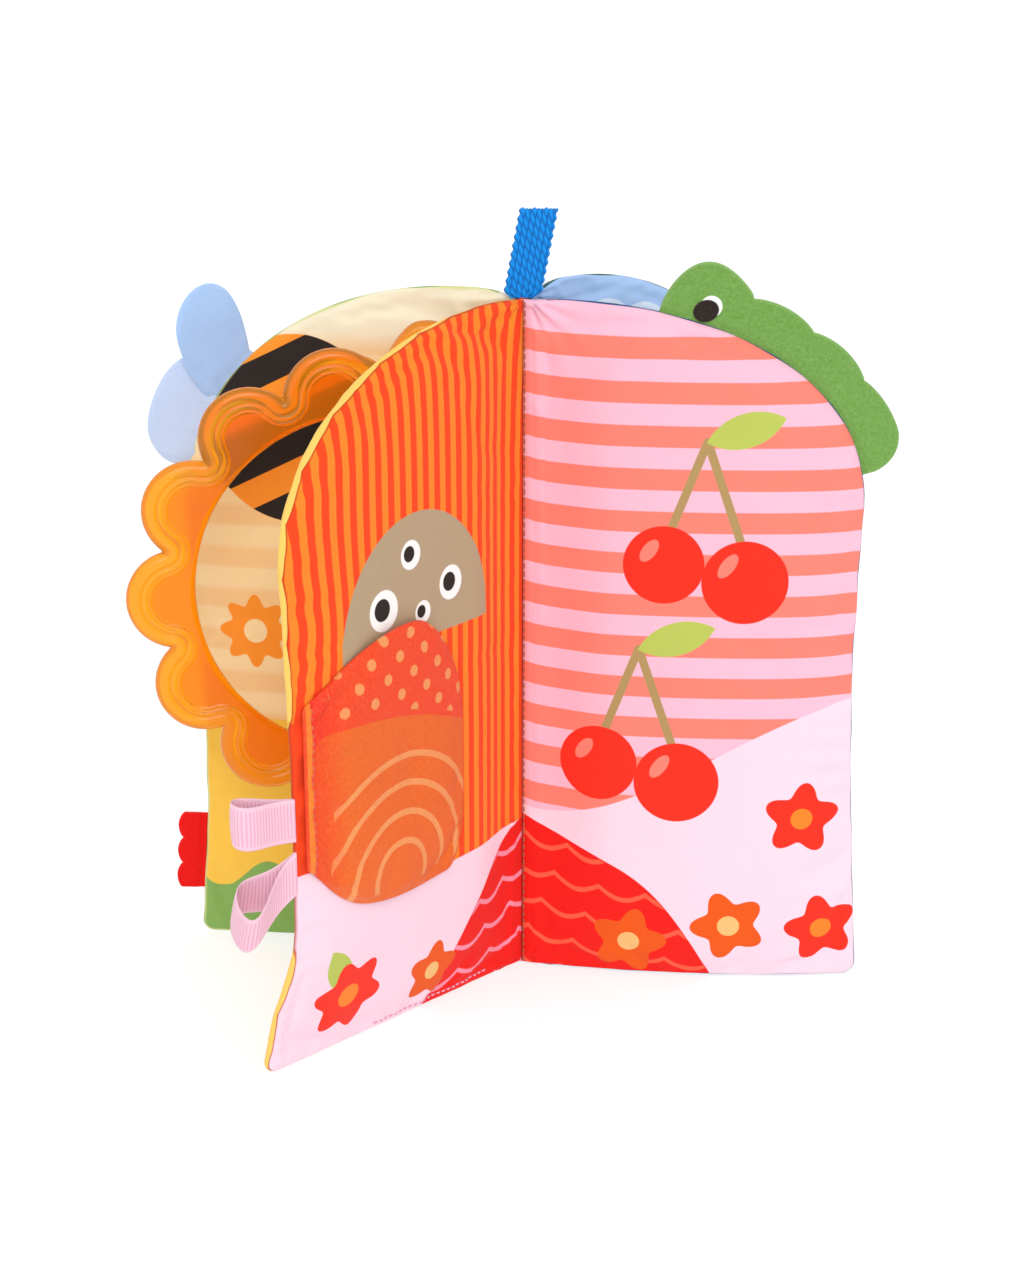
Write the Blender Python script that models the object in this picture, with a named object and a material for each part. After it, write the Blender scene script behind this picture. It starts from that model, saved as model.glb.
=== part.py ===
"""A soft cloth book for babies, standing on its bottom edges with its four padded leaves fanned out.

Two padded double pages are sewn together along a seam core at the spine. Each half of a double page
is a leaf that turns about its own vertical line beside that core. Cloth, felt, ribbon, webbing and
silicone pieces are sewn into the leaves' edges and turn about their seams.

Frame: metres, +Z up. The origin is the foot of the spine, on the surface that the book stands on.
The reader sits towards -Y and looks along +Y.
"""
import math
from dataclasses import dataclass

import bmesh
import bpy
from mathutils import Matrix, Vector

MM = 0.001

# Cloth thicknesses and sewing clearances
cloth_thickness = 0.8 * MM
film_thickness = 0.3 * MM
layer_gap = 0.3 * MM
seam_half_thickness = 1.2 * MM
page_half_thickness = 2.6 * MM
edge_roll_width = 14 * MM

# The spine's seam core and the four lines that the leaves turn about
spine_height = 250 * MM
core_half_width = 2.6 * MM
core_half_depth = 1.3 * MM
leaf_line_x = 2.6 * MM
leaf_line_y = 2.0 * MM
core_arc_steps = 6

# The cut of a page and of a cover: width along the cloth, height, and the arch over its outer corner
page_width = 122.5 * MM
cover_width = 124.5 * MM
page_height = spine_height
front_cover_rise = 2.5 * MM
back_cover_rise = 5 * MM
front_cover_height = spine_height + front_cover_rise
back_cover_height = spine_height + back_cover_rise
page_arch_drop = 72 * MM
cover_arch_drop = 85 * MM
page_arch_foot = page_height - page_arch_drop
cover_arch_foot = spine_height - cover_arch_drop
page_arch_start = 8 * MM
cover_arch_start = 20 * MM
arch_exponent = 2.1
spine_pinch_width = 16 * MM
spine_pinch_depth = 0.6 * MM

# How the leaves stand: headings in degrees from +X, where a leaf leaves the spine and where it ends
left_page_headings = (226, 226)
right_page_headings = (346, 366)
front_cover_headings = (160, 177)
back_cover_headings = (46, 36)
left_page_twist_deg = 7
twist_height = 60 * MM
page_draw_in = 3.0 * MM
cover_draw_in = 4.5 * MM
right_page_take_up = 4.7 * MM

# Rows and columns of a leaf's cloth, as shares of its width and height, closer together at the edges
column_shares = (0.07, 0.2, 0.34, 0.48, 0.62, 0.74, 0.84, 0.92, 0.97, 1)
row_shares = (0, 0.05, 0.17, 0.31, 0.45, 0.59, 0.73, 0.86, 0.95, 1)
root_column_shares = (-0.83, -0.45, 0)

# The satin flap on the left page
flap_line_inset = 2.5 * MM
flap_low = 58 * MM
flap_high = 140 * MM
flap_seam_low = 79 * MM
flap_peak = 150 * MM
flap_length = 75 * MM
flap_half_thickness = 1.6 * MM
flap_seam_half_thickness = 1.1 * MM
flap_lift_deg = 3
flap_bulge = 3 * MM
flap_peak_share = 0.45
flap_flare_share = 0.75
flap_tip_round_share = 0.45
flap_tip_drop_share = 0.42
flap_tip_exponent = 2.2
flap_toe_round_share = 0.2
flap_toe_rise_share = 0.1
flap_column_shares = (0.06, 0.18, 0.32, 0.48, 0.64, 0.8, 0.91, 0.975, 1)
flap_row_shares = (0, 0.07, 0.25, 0.5, 0.75, 0.93, 1)

# The ribbon loops on the left page's outer edge
ribbon_width = 15 * MM
ribbon_thickness = 0.7 * MM
ribbon_loop_length = 19.5 * MM
ribbon_loop_bulge = 5.5 * MM
ribbon_turn_deg = -25
upper_ribbon_low = 88.5 * MM
lower_ribbon_low = 69 * MM
upper_ribbon_rise = 2 * MM
lower_ribbon_rise = -11 * MM
ribbon_steps = 16
strip_row_shares = (0, 0.5, 1)

# The webbing loop at the top of the spine
webbing_width = 13 * MM
webbing_thickness = 1.3 * MM
webbing_length = 29 * MM
webbing_lean = 5.5 * MM
webbing_fold_steps = 6
webbing_rise_steps = 3

# The felt piece with a scalloped back, along the right page's arch
crest_thickness = 3 * MM
crest_start = 45 * MM
crest_low_drop = 60 * MM
crest_low = page_height - crest_low_drop
crest_scallops = 4
crest_head_height = 20.5 * MM
crest_back_height = 15.5 * MM
crest_notch_height = 12.5 * MM
crest_head_share = 0.32
crest_end_share = 0.1
crest_end_drop_share = 0.5
crest_head_exponent = 0.6
crest_scallop_exponent = 0.7
crest_row_shares = (0, 0.5, 1)
crest_steps_per_scallop = 8

# The two wings on the front cover's arch
wing_half_thickness = 1.5 * MM
wing_seam_half_thickness = 0.8 * MM
upper_wing_arch_share = 0.58
lower_wing_arch_share = 0.74
upper_wing_base = 19 * MM
lower_wing_base = 16 * MM
upper_wing_length = 29 * MM
lower_wing_length = 19 * MM
upper_wing_width = 28 * MM
lower_wing_width = 36 * MM
upper_wing_lean = 11 * MM
lower_wing_lean = 2 * MM
upper_wing_tilt_deg = 12
lower_wing_tilt_deg = -9
wing_tip_share = 0.45
wing_tip_exponent = 2.2
wing_roll_share = 0.25
wing_column_shares = (0.12, 0.3, 0.5, 0.7, 0.86, 0.96, 1)
wing_row_shares = (-1, -0.72, -0.36, 0, 0.36, 0.72, 1)

# The felt tail on the front cover's outer edge
tail_thickness = 3 * MM
tail_low = 18 * MM
tail_high = 49 * MM
tail_scallops = 3
tail_reach = 9 * MM
tail_notch_reach = 6.6 * MM
tail_scallop_exponent = 0.6
tail_steps_per_scallop = 6

# The teether: a scalloped ring that stops short of the spine, where two tabs hold its tongues
ring_heading = 190
ring_centre_reach = 51.5 * MM
ring_centre_drop = 100 * MM
ring_centre_height = spine_height - ring_centre_drop
ring_hole_radius = 61 * MM
ring_lobe_centre_radius = 67.5 * MM
ring_lobe_radius = 17.7 * MM
ring_half_thickness = 3 * MM
ring_lobe_pitch_deg = 27.5
ring_lobe_phase_deg = 11.9
ring_end_deg = 114
ring_steps_per_lobe = 8
ring_profile_shares = (0, 0.1, 0.22, 0.3, 0.6, 0.68, 0.78, 0.88, 1)
ring_height_shares = (0.55, 1, 1, 0.6, 0.6, 1, 0.8, 1, 0.5)
tongue_half_thickness = 1 * MM
tongue_reach = 4.5 * MM
tongue_root_reach = 13.5 * MM
tongue_inner_height = 46 * MM
tongue_outer_height = 68 * MM
tab_line_x = 3.4 * MM
tab_half_thickness = 0.5 * MM
tab_ply_thickness = 0.6 * MM
tab_reach = 11 * MM
tab_margin = 1 * MM

# Colours
red_print = (0.92, 0.13, 0.05)
coral_print = (0.93, 0.42, 0.38)
cream_print = (0.93, 0.63, 0.28)
blue_print = (0.42, 0.60, 0.90)
yellow_cloth = (0.97, 0.55, 0.08)
navy_cloth = (0.03, 0.12, 0.35)
green_cloth = (0.30, 0.52, 0.16)
dark_green_cloth = (0.05, 0.25, 0.12)
white_wadding = (0.9, 0.9, 0.88)
clear_film = (0.85, 0.87, 0.9)
spine_red = (0.85, 0.25, 0.15)
webbing_blue = (0.01, 0.23, 0.68)
flap_red = (0.93, 0.15, 0.02)
flap_orange = (0.95, 0.5, 0.1)
ribbon_pink = (0.97, 0.6, 0.68)
felt_green = (0.22, 0.40, 0.10)
felt_red = (0.80, 0.01, 0.01)
upper_wing_blue = (0.48, 0.68, 0.96)
lower_wing_blue = (0.60, 0.75, 0.95)
ring_orange = (1.0, 0.42, 0.03)


@dataclass
class Leaf:
    """One padded leaf. Places on it are given as reach along the cloth, height, and offset to its front."""

    name: str
    side_x: int
    side_y: int
    headings: tuple
    front: int
    width: float
    height: float
    arch_start: float
    arch_foot: float
    draw_in: float
    twist_deg: float = 0
    take_up: float = 0

    def line(self):
        """The foot of the vertical line that the leaf turns about."""
        return Vector((self.side_x * leaf_line_x, self.side_y * leaf_line_y, 0))

    def heading(self, reach, height):
        """The leaf's heading in radians at a place on it."""
        start, end = self.headings
        twist = self.twist_deg * smooth_step(height / twist_height)
        return math.radians(start + (end - start) * reach / self.width + twist)

    def place(self, reach, height, offset=0.0):
        """The point in space at a reach from the leaf's line, a height and an offset to its front."""
        start = self.heading(0, height)
        here = self.heading(reach, height)
        direction = Vector((math.cos(here), math.sin(here), 0))
        normal = Vector((-direction.y, direction.x, 0)) * self.front
        bend = (self.heading(self.width, height) - start) / self.width
        if bend == 0:
            along = direction * reach
        else:
            along = Vector((math.sin(here) - math.sin(start), math.cos(start) - math.cos(here), 0)) / bend
        return self.line() + along + normal * offset + Vector((0, 0, height))

    def top(self, reach):
        """The height of the leaf's top edge at a reach: pinched at the spine, arched over the outer corner."""
        arch = arch_height(max(0, reach - self.arch_start) / (self.width - self.arch_start))
        depth = self.height - spine_height + spine_pinch_depth
        pinch = depth * max(0, 1 - reach / spine_pinch_width) ** 2
        return self.arch_foot + (self.height - self.arch_foot) * arch - pinch

    def narrowing(self, height):
        """How far the outer edge is drawn in by its seam, and taken up by the stuffing, at a height."""
        rise = min(1, height / self.arch_foot)
        return self.draw_in * math.sin(math.pi * rise) + self.take_up * smooth_step(rise)

    def arch_share(self, height):
        """The share of the arch's quarter turn at which it passes a height."""
        level = (height - self.arch_foot) / (self.height - self.arch_foot)
        return math.acos(level ** (arch_exponent / 2)) * 2 / math.pi

    def arch_point(self, share):
        """Reach and height on the arch at a share of the quarter turn, and the way out of the leaf there."""
        angle = share * math.pi / 2
        run = self.width - self.arch_start
        rise = self.height - self.arch_foot
        power = 2 / arch_exponent
        reach = self.arch_start + run * math.sin(angle) ** power
        height = self.arch_foot + rise * math.cos(angle) ** power
        out = Vector((math.sin(angle) ** (2 - power) / run, math.cos(angle) ** (2 - power) / rise))
        reach -= self.narrowing(height) * (reach / self.width) ** 2
        return Vector((reach, height)), out.normalized()


def smooth_step(share):
    """0 to 1 with level ends."""
    share = min(1, max(0, share))
    return share * share * (3 - 2 * share)


def arch_height(share):
    """Height of the arch, from 1 at its start to 0 at the outer edge."""
    return max(0, 1 - min(1, share) ** arch_exponent) ** (1 / arch_exponent)


def swell(distance, thin, thick, roll):
    """Half the thickness of a stuffed piece at a distance from its nearest seam."""
    return thin + (thick - thin) * math.sin(math.pi / 2 * min(1, max(0, distance) / roll))


def clear_scene():
    for thing in list(bpy.data.objects):
        bpy.data.objects.remove(thing, do_unlink=True)


def make_material(name, color, roughness, metallic=0.0):
    material = bpy.data.materials.new(name)
    material.use_nodes = True
    shader = material.node_tree.nodes["Principled BSDF"]
    shader.inputs["Base Color"].default_value = (*color, 1)
    shader.inputs["Roughness"].default_value = roughness
    shader.inputs["Metallic"].default_value = metallic
    material.diffuse_color = (*color, 1)
    return material


def add_object(name, mesh, material, pivot=Vector((0, 0, 0))):
    """An object of a finished mesh, with its origin on the line that it turns about."""
    mesh.transform(Matrix.Translation(-pivot))
    mesh.materials.append(material)
    piece = bpy.data.objects.new(name, mesh)
    piece.location = pivot
    bpy.context.scene.collection.objects.link(piece)
    return piece


def add_body(name, points, faces, material, pivot=Vector((0, 0, 0))):
    """A closed body of given points and faces, with its faces turned outwards."""
    mesh = bpy.data.meshes.new(name)
    mesh.from_pydata([tuple(point) for point in points], [], faces)
    work = bmesh.new()
    work.from_mesh(mesh)
    bmesh.ops.recalc_face_normals(work, faces=work.faces)
    work.to_mesh(mesh)
    work.free()
    mesh.shade_smooth()
    mesh.set_sharp_from_angle(angle=math.radians(40))
    return add_object(name, mesh, material, pivot)


def add_shell(name, near, far, material, pivot=Vector((0, 0, 0))):
    """A closed body between two grids of points of one layout. Both are cut into triangles alike."""
    columns = len(near)
    rows = len(near[0])
    points = [point for column in near + far for point in column]

    def index(side, column, row):
        return (side * columns + column) * rows + row

    faces = []
    for side in (0, 1):
        for column in range(columns - 1):
            for row in range(rows - 1):
                a = index(side, column, row)
                b = index(side, column + 1, row)
                c = index(side, column + 1, row + 1)
                d = index(side, column, row + 1)
                faces += [(a, b, c), (a, c, d)]
    rim = [(column, 0) for column in range(columns)]
    rim += [(columns - 1, row) for row in range(1, rows)]
    rim += [(column, rows - 1) for column in range(columns - 2, -1, -1)]
    rim += [(0, row) for row in range(rows - 2, 0, -1)]
    for here, there in zip(rim, rim[1:] + rim[:1]):
        faces.append((index(0, *here), index(0, *there), index(1, *there), index(1, *here)))
    return add_body(name, points, faces, material, pivot)


def leaf_grid(leaf):
    """The leaf's grid: per column and row its reach, height and half thickness, and whether it is an edge."""
    grid = []
    for share in root_column_shares[:-1]:
        reach = share * seam_half_thickness
        half = math.sqrt(seam_half_thickness ** 2 - reach ** 2)
        grid.append([(reach, row * leaf.top(0), half, True) for row in row_shares])
    grid.append([(0, row * leaf.top(0), seam_half_thickness, True) for row in row_shares])
    for share in column_shares:
        column = []
        for row in row_shares:
            full = share * leaf.width
            height = row * leaf.top(full)
            reach = full - leaf.narrowing(height) * share ** 2
            edge = row in (row_shares[0], row_shares[-1]) or share == column_shares[-1]
            distance = min(full, leaf.width - full, height, leaf.top(full) - height)
            half = swell(distance, seam_half_thickness, page_half_thickness, edge_roll_width)
            if edge:
                half = seam_half_thickness
            column.append((reach, height, half, edge))
        grid.append(column)
    return grid


def leaf_surface(leaf, grid, offset_of):
    """Points of one surface in a leaf, whose offset comes from the half thickness and from being an edge."""
    return [[leaf.place(reach, height, offset_of(half, edge)) for reach, height, half, edge in column]
            for column in grid]


def inner_grid(grid):
    """The part of a leaf's grid that filling and film reach: inside the seams on all sides."""
    first = len(root_column_shares)
    return [column[1:-1] for column in grid[first:-1]]


def make_leaf(leaf, front_material, back_material, wadding_material, film_material):
    """Front and back panels sewn round the edge, with crinkle film and wadding between them."""
    grid = leaf_grid(leaf)
    inside = inner_grid(grid)
    pivot = leaf.line()

    def panel_inside(half, edge):
        return layer_gap / 2 if edge else half - cloth_thickness

    def film_front(half, edge):
        return panel_inside(half, edge) - layer_gap

    def film_back(half, edge):
        return film_front(half, edge) - film_thickness

    def wadding_front(half, edge):
        return film_back(half, edge) - layer_gap

    add_shell(leaf.name + "_front",
              leaf_surface(leaf, grid, lambda half, edge: half),
              leaf_surface(leaf, grid, panel_inside), front_material, pivot)
    add_shell(leaf.name + "_back",
              leaf_surface(leaf, grid, lambda half, edge: -panel_inside(half, edge)),
              leaf_surface(leaf, grid, lambda half, edge: -half), back_material, pivot)
    add_shell(leaf.name + "_crinkle_film",
              leaf_surface(leaf, inside, film_front),
              leaf_surface(leaf, inside, film_back), film_material, pivot)
    add_shell(leaf.name + "_wadding",
              leaf_surface(leaf, inside, wadding_front),
              leaf_surface(leaf, inside, lambda half, edge: layer_gap - panel_inside(half, edge)),
              wadding_material, pivot)


def make_spine(material):
    """The sewn core: a strip whose four corners are hollowed for the leaves' rounded roots."""
    hollow = seam_half_thickness + layer_gap
    corner = []
    reach_y = leaf_line_y - core_half_depth
    reach_x = leaf_line_x - core_half_width
    first = math.asin(reach_y / hollow)
    last = math.acos(reach_x / hollow)
    for step in range(core_arc_steps + 1):
        angle = first + (last - first) * step / core_arc_steps
        corner.append((leaf_line_x - hollow * math.cos(angle), leaf_line_y - hollow * math.sin(angle)))
    outline = [(x, y) for x, y in corner]
    outline += [(x, -y) for x, y in reversed(corner)]
    outline += [(-x, -y) for x, y in corner]
    outline += [(-x, y) for x, y in reversed(corner)]
    count = len(outline)
    points = [Vector((x, y, z)) for z in (0, spine_height) for x, y in outline]
    faces = [tuple(range(count)), tuple(range(count, 2 * count))]
    faces += [(i, (i + 1) % count, count + (i + 1) % count, count + i) for i in range(count)]
    add_body("spine_core", points, faces, material)


def flap_rest(run):
    """Offset of the page's front where the flap lies on it, at a run from the flap's line."""
    return swell(flap_line_inset + run, seam_half_thickness, page_half_thickness, edge_roll_width) + layer_gap


def flap_edges(share):
    """Low and high edge of the flap at a share of its length from the seam: two rounded lobes."""
    full = flap_peak - flap_low
    rise = (flap_peak - flap_high) * math.sin(math.pi / 2 * min(2, share / flap_peak_share))
    tip = max(0, 1 - (1 - share) / flap_tip_round_share) ** flap_tip_exponent
    high = flap_high + rise - full * flap_tip_drop_share * tip
    toe = max(0, 1 - (1 - share) / flap_toe_round_share) ** 2
    flare = (flap_low - flap_seam_low) * smooth_step(share / flap_flare_share)
    low = flap_seam_low + flare + full * flap_toe_rise_share * toe
    return low, high


def make_flap(leaf, outer_material, lining_material):
    """The flap lies on the page's front and swells a little: an outer cloth and a lining, sewn round."""
    reach = leaf.width - leaf.draw_in - flap_line_inset
    line = leaf.place(reach, flap_high, flap_rest(0) + flap_seam_half_thickness)
    outer, outer_in, lining_in, lining = [], [], [], []
    shares = [(share * flap_seam_half_thickness / flap_length, share) for share in root_column_shares]
    shares += [(share, None) for share in flap_column_shares]
    for share, root_share in shares:
        low, high = flap_edges(max(0, share))
        run = share * flap_length
        lift = max(0, run) * math.tan(math.radians(flap_lift_deg))
        lift += flap_bulge * math.sin(math.pi * max(0, share)) ** 2
        columns = ([], [], [], [])
        for row in flap_row_shares:
            height = low + (high - low) * row
            edge = row in (0, 1) or share == 1 or root_share is not None
            distance = min(run, flap_length - run, height - low, high - height)
            half = swell(distance, flap_seam_half_thickness, flap_half_thickness, edge_roll_width)
            if root_share is not None:
                half = flap_seam_half_thickness * math.sqrt(1 - root_share ** 2)
            inside = layer_gap / 2 if edge else half - cloth_thickness
            middle = flap_rest(max(0, run)) + max(half, flap_seam_half_thickness) + lift
            for column, offset in zip(columns, (half, inside, -inside, -half)):
                column.append(leaf.place(reach - run, height, middle + offset))
        for surface, column in zip((outer, outer_in, lining_in, lining), columns):
            surface.append(column)
    pivot = Vector((line.x, line.y, 0))
    add_shell("flap_outer", outer, outer_in, outer_material, pivot)
    add_shell("flap_lining", lining_in, lining, lining_material, pivot)


def folded_strip(name, path, thickness, half_gap, to_space, material, pivot):
    """A strip that goes out along a path, folds and comes back, with both ends rounded off at the root.

    The path holds (out, side) points of the strip's middle. to_space maps out, side and a share of
    the strip's width to a point in space.
    """
    outside, inside = [], []
    radius = half_gap + thickness
    for share in root_column_shares[:-1]:
        outside.append((share * radius, -radius * math.sqrt(1 - share ** 2)))
        inside.append((share * radius, -half_gap))
    for index, (out, side) in enumerate(path):
        before = Vector(path[max(0, index - 1)])
        after = Vector(path[min(len(path) - 1, index + 1)])
        along = (after - before).normalized()
        across = Vector((along.y, -along.x)) * thickness / 2
        outside.append((out + across.x, side + across.y))
        inside.append((out - across.x, side - across.y))
    for share in reversed(root_column_shares[:-1]):
        outside.append((share * radius, radius * math.sqrt(1 - share ** 2)))
        inside.append((share * radius, half_gap))
    near = [[to_space(out, side, share) for share in strip_row_shares] for out, side in outside]
    far = [[to_space(out, side, share) for share in strip_row_shares] for out, side in inside]
    add_shell(name, near, far, material, pivot)


def edge_line(leaf, low, high, standoff):
    """A straight line beside a leaf's outer edge between two heights: its lower end, and the way up."""
    ends = []
    for height in (low, high):
        ends.append(leaf.place(leaf.width - leaf.narrowing(height) + standoff, height))
    return ends[0], (ends[1] - ends[0])


def make_ribbon(name, leaf, low, rise, material):
    """A ribbon loop whose two ends lie in the page's outer seam. Its open fold swells like a drop."""
    half_gap = layer_gap / 2
    radius = half_gap + ribbon_thickness
    foot, up = edge_line(leaf, low, low + ribbon_width, radius + layer_gap)
    heading = leaf.heading(leaf.width, low) + math.radians(ribbon_turn_deg)
    out_way = Vector((math.cos(heading), math.sin(heading), 0))
    side_way = Vector((-out_way.y, out_way.x, 0))
    ply = half_gap + ribbon_thickness / 2
    path = []
    for step in range(ribbon_steps + 1):
        turn = math.pi * step / ribbon_steps
        out = ribbon_loop_length * math.sin(turn)
        side = -ply * math.cos(turn) - ribbon_loop_bulge * math.sin(2 * turn) * math.sin(turn)
        path.append((out, side))

    def to_space(out, side, share):
        drop = Vector((0, 0, rise * out / ribbon_loop_length))
        return foot + up * share + out_way * out + side_way * side + drop

    folded_strip(name, path, ribbon_thickness, half_gap, to_space, material, foot)


def make_webbing(material):
    """The webbing loop: folded double and flat, standing on the spine and leaning to the right."""
    half_gap = layer_gap / 2
    ply = half_gap + webbing_thickness / 2
    radius = half_gap + webbing_thickness
    foot = Vector((0, 0, spine_height + layer_gap + radius))
    straight = webbing_length - radius - ply
    path = [(straight * step / webbing_rise_steps, -ply) for step in range(webbing_rise_steps + 1)]
    for step in range(1, webbing_fold_steps):
        turn = math.pi * step / webbing_fold_steps
        path.append((straight + ply * math.sin(turn), -ply * math.cos(turn)))
    path += [(straight * step / webbing_rise_steps, ply) for step in range(webbing_rise_steps, -1, -1)]

    def to_space(out, side, share):
        lean = webbing_lean * out / webbing_length
        return foot + Vector((lean + webbing_width * (share - 0.5), side, out))

    folded_strip("webbing_loop", path, webbing_thickness, half_gap, to_space, material, foot)


def make_crest(leaf, material):
    """The felt piece along the right page's arch: a rounded head, then lower scallops down its back."""
    first = leaf.arch_share(leaf.top(crest_start))
    last = leaf.arch_share(crest_low)
    steps = crest_scallops * crest_steps_per_scallop
    front, back = [], []
    for step in range(steps + 1):
        share = step / steps
        height = crest_height(share)
        point, out = leaf.arch_point(first + (last - first) * share)
        columns = ([], [])
        for row in crest_row_shares:
            place = point + out * (layer_gap + height * row)
            for column, side in zip(columns, (1, -1)):
                column.append(leaf.place(place.x, place.y, side * crest_thickness / 2))
        front.append(columns[0])
        back.append(columns[1])
    add_shell("felt_crest", front, back, material, leaf.line())


def crest_height(share):
    """Height of the felt above the arch: a head, then equal scallops that meet in notches."""
    if share < crest_head_share:
        inside = share / crest_head_share
        low = crest_notch_height * inside
        return low + (crest_head_height - low) * math.sin(math.pi * inside) ** crest_head_exponent
    place = (share - crest_head_share) / (1 - crest_head_share) * (crest_scallops - 1)
    inside = 0 if share >= 1 else place % 1
    bump = math.sin(math.pi * inside) ** crest_scallop_exponent
    fall = 1 - crest_end_drop_share * smooth_step(1 - (1 - share) / crest_end_share)
    return (crest_notch_height + (crest_back_height - crest_notch_height) * bump) * fall


def wing_line(leaf, arch_share, base):
    """The straight line along a wing's seam: its two ends on the leaf, and the way out of the leaf."""
    point, out = leaf.arch_point(arch_share)
    tangent = Vector((-out.y, out.x))
    middle = point + out * (layer_gap + wing_seam_half_thickness)
    low = middle - tangent * base / 2
    high = middle + tangent * base / 2
    return low, high, out


def make_wing(name, leaf, arch_share, base, length, width, lean, tilt_deg, cloth):
    """A lightly stuffed petal whose straight root lies along the cover's arch."""
    low, high, out = wing_line(leaf, arch_share, base)
    heading = leaf.heading(low.x, low.y)
    foot = leaf.place(low.x, low.y)
    along = leaf.place(high.x, high.y) - foot
    out_way = Vector((math.cos(heading) * out.x, math.sin(heading) * out.x, out.y))
    up = along.normalized()
    out_way = (out_way - up * out_way.dot(up)).normalized()
    out_way.rotate(Matrix.Rotation(math.radians(tilt_deg), 3, up))
    side = out_way.cross(up)
    middle = foot + along / 2
    near, far = [], []
    radius = wing_seam_half_thickness
    for share in root_column_shares[:-1]:
        half = radius * math.sqrt(1 - share ** 2)
        near.append([middle + up * (row * base / 2) + out_way * share * radius + side * half
                     for row in wing_row_shares])
        far.append([middle + up * (row * base / 2) + out_way * share * radius - side * half
                    for row in wing_row_shares])
    for share in (0,) + wing_column_shares:
        widening = (width - base) * math.sin(math.pi / 2 * min(1, share / (1 - wing_tip_share)))
        tip = max(0, 1 - (1 - share) / wing_tip_share) ** wing_tip_exponent
        rounding = math.sqrt(max(0, 1 - tip))
        half_width = max((base + widening) / 2 * rounding, radius)
        columns = ([], [])
        for row in wing_row_shares:
            across = row * half_width
            distance = min(share * length, (1 - share) * length, half_width - abs(across))
            half = swell(distance, radius, wing_half_thickness, width * wing_roll_share)
            where = middle + out_way * share * length + up * (across + lean * share)
            columns[0].append(where + side * half)
            columns[1].append(where - side * half)
        near.append(columns[0])
        far.append(columns[1])
    add_shell(name, near, far, cloth, middle)


def make_tail(leaf, material):
    """The felt tail: three small scallops on a straight root along the cover's outer edge."""
    radius = tail_thickness / 2
    foot, up = edge_line(leaf, tail_low, tail_high, radius + layer_gap)
    heading = leaf.heading(leaf.width, tail_low)
    out_way = Vector((math.cos(heading), math.sin(heading), 0))
    side = Vector((-out_way.y, out_way.x, 0))
    steps = tail_scallops * tail_steps_per_scallop
    near, far = [], []
    for step in range(steps + 1):
        share = step / steps
        inside = share * tail_scallops % 1
        bump = 0 if step in (0, steps) else math.sin(math.pi * inside) ** tail_scallop_exponent
        reach = tail_notch_reach + (tail_reach - tail_notch_reach) * bump
        places = [(part * radius, radius * math.sqrt(1 - part ** 2)) for part in root_column_shares[:-1]]
        places += [(0, radius), (reach, radius)]
        base = foot + up * share
        near.append([base + out_way * out + side * half for out, half in places])
        far.append([base + out_way * out - side * half for out, half in places])
    add_shell("felt_tail", near, far, material, foot)


def ring_point(radius, angle):
    """Reach and height of a point of the ring, from its radius and its angle above the outward way."""
    return Vector((ring_centre_reach + radius * math.cos(angle), ring_centre_height + radius * math.sin(angle)))


def ring_outline(angle):
    """Outer radius of the ring at an angle: lobes of one radius, set round a circle."""
    pitch = math.radians(ring_lobe_pitch_deg)
    phase = math.radians(ring_lobe_phase_deg) + pitch / 2
    turn = (angle - phase + pitch / 2) % pitch - pitch / 2
    sideways = ring_lobe_centre_radius * math.sin(turn)
    return ring_lobe_centre_radius * math.cos(turn) + math.sqrt(ring_lobe_radius ** 2 - sideways ** 2)


def ring_sections():
    """Sections from the lower tongue round to the upper one: inner point, outer point, half thickness."""
    end = math.radians(ring_end_deg)
    steps = round(2 * ring_end_deg / ring_lobe_pitch_deg * ring_steps_per_lobe)
    sections = []
    for step in range(steps + 1):
        angle = end * (2 * step / steps - 1)
        sections.append((ring_point(ring_hole_radius, angle), ring_point(ring_outline(angle), angle), True))
    return tongue_sections(-1)[::-1] + sections + tongue_sections(1)


def tongue_sections(sign):
    """The two sections of the lower (-1) or upper (1) tongue, from the ring's bead to the tongue's end."""
    sections = []
    for reach in (tongue_root_reach, tongue_reach):
        inner = Vector((reach, ring_centre_height + sign * tongue_inner_height))
        outer = Vector((reach, ring_centre_height + sign * tongue_outer_height))
        sections.append((inner, outer, False))
    return sections


def make_ring(material):
    """The silicone ring: a raised bead round both edges of a thinner web, and flat tongues at its ends."""
    heading = math.radians(ring_heading)
    direction = Vector((math.cos(heading), math.sin(heading), 0))
    side = Vector((-direction.y, direction.x, 0))
    origin = Vector((-tab_line_x, 0, 0))
    near, far = [], []
    for inner, outer, beaded in ring_sections():
        columns = ([], [])
        for share, height_share in zip(ring_profile_shares, ring_height_shares):
            half = ring_half_thickness * height_share if beaded else tongue_half_thickness
            place = inner.lerp(outer, share)
            where = origin + direction * place.x + Vector((0, 0, place.y))
            columns[0].append(where + side * half)
            columns[1].append(where - side * half)
        near.append(columns[0])
        far.append(columns[1])
    add_shell("teether_ring", near, far, material, origin)


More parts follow.
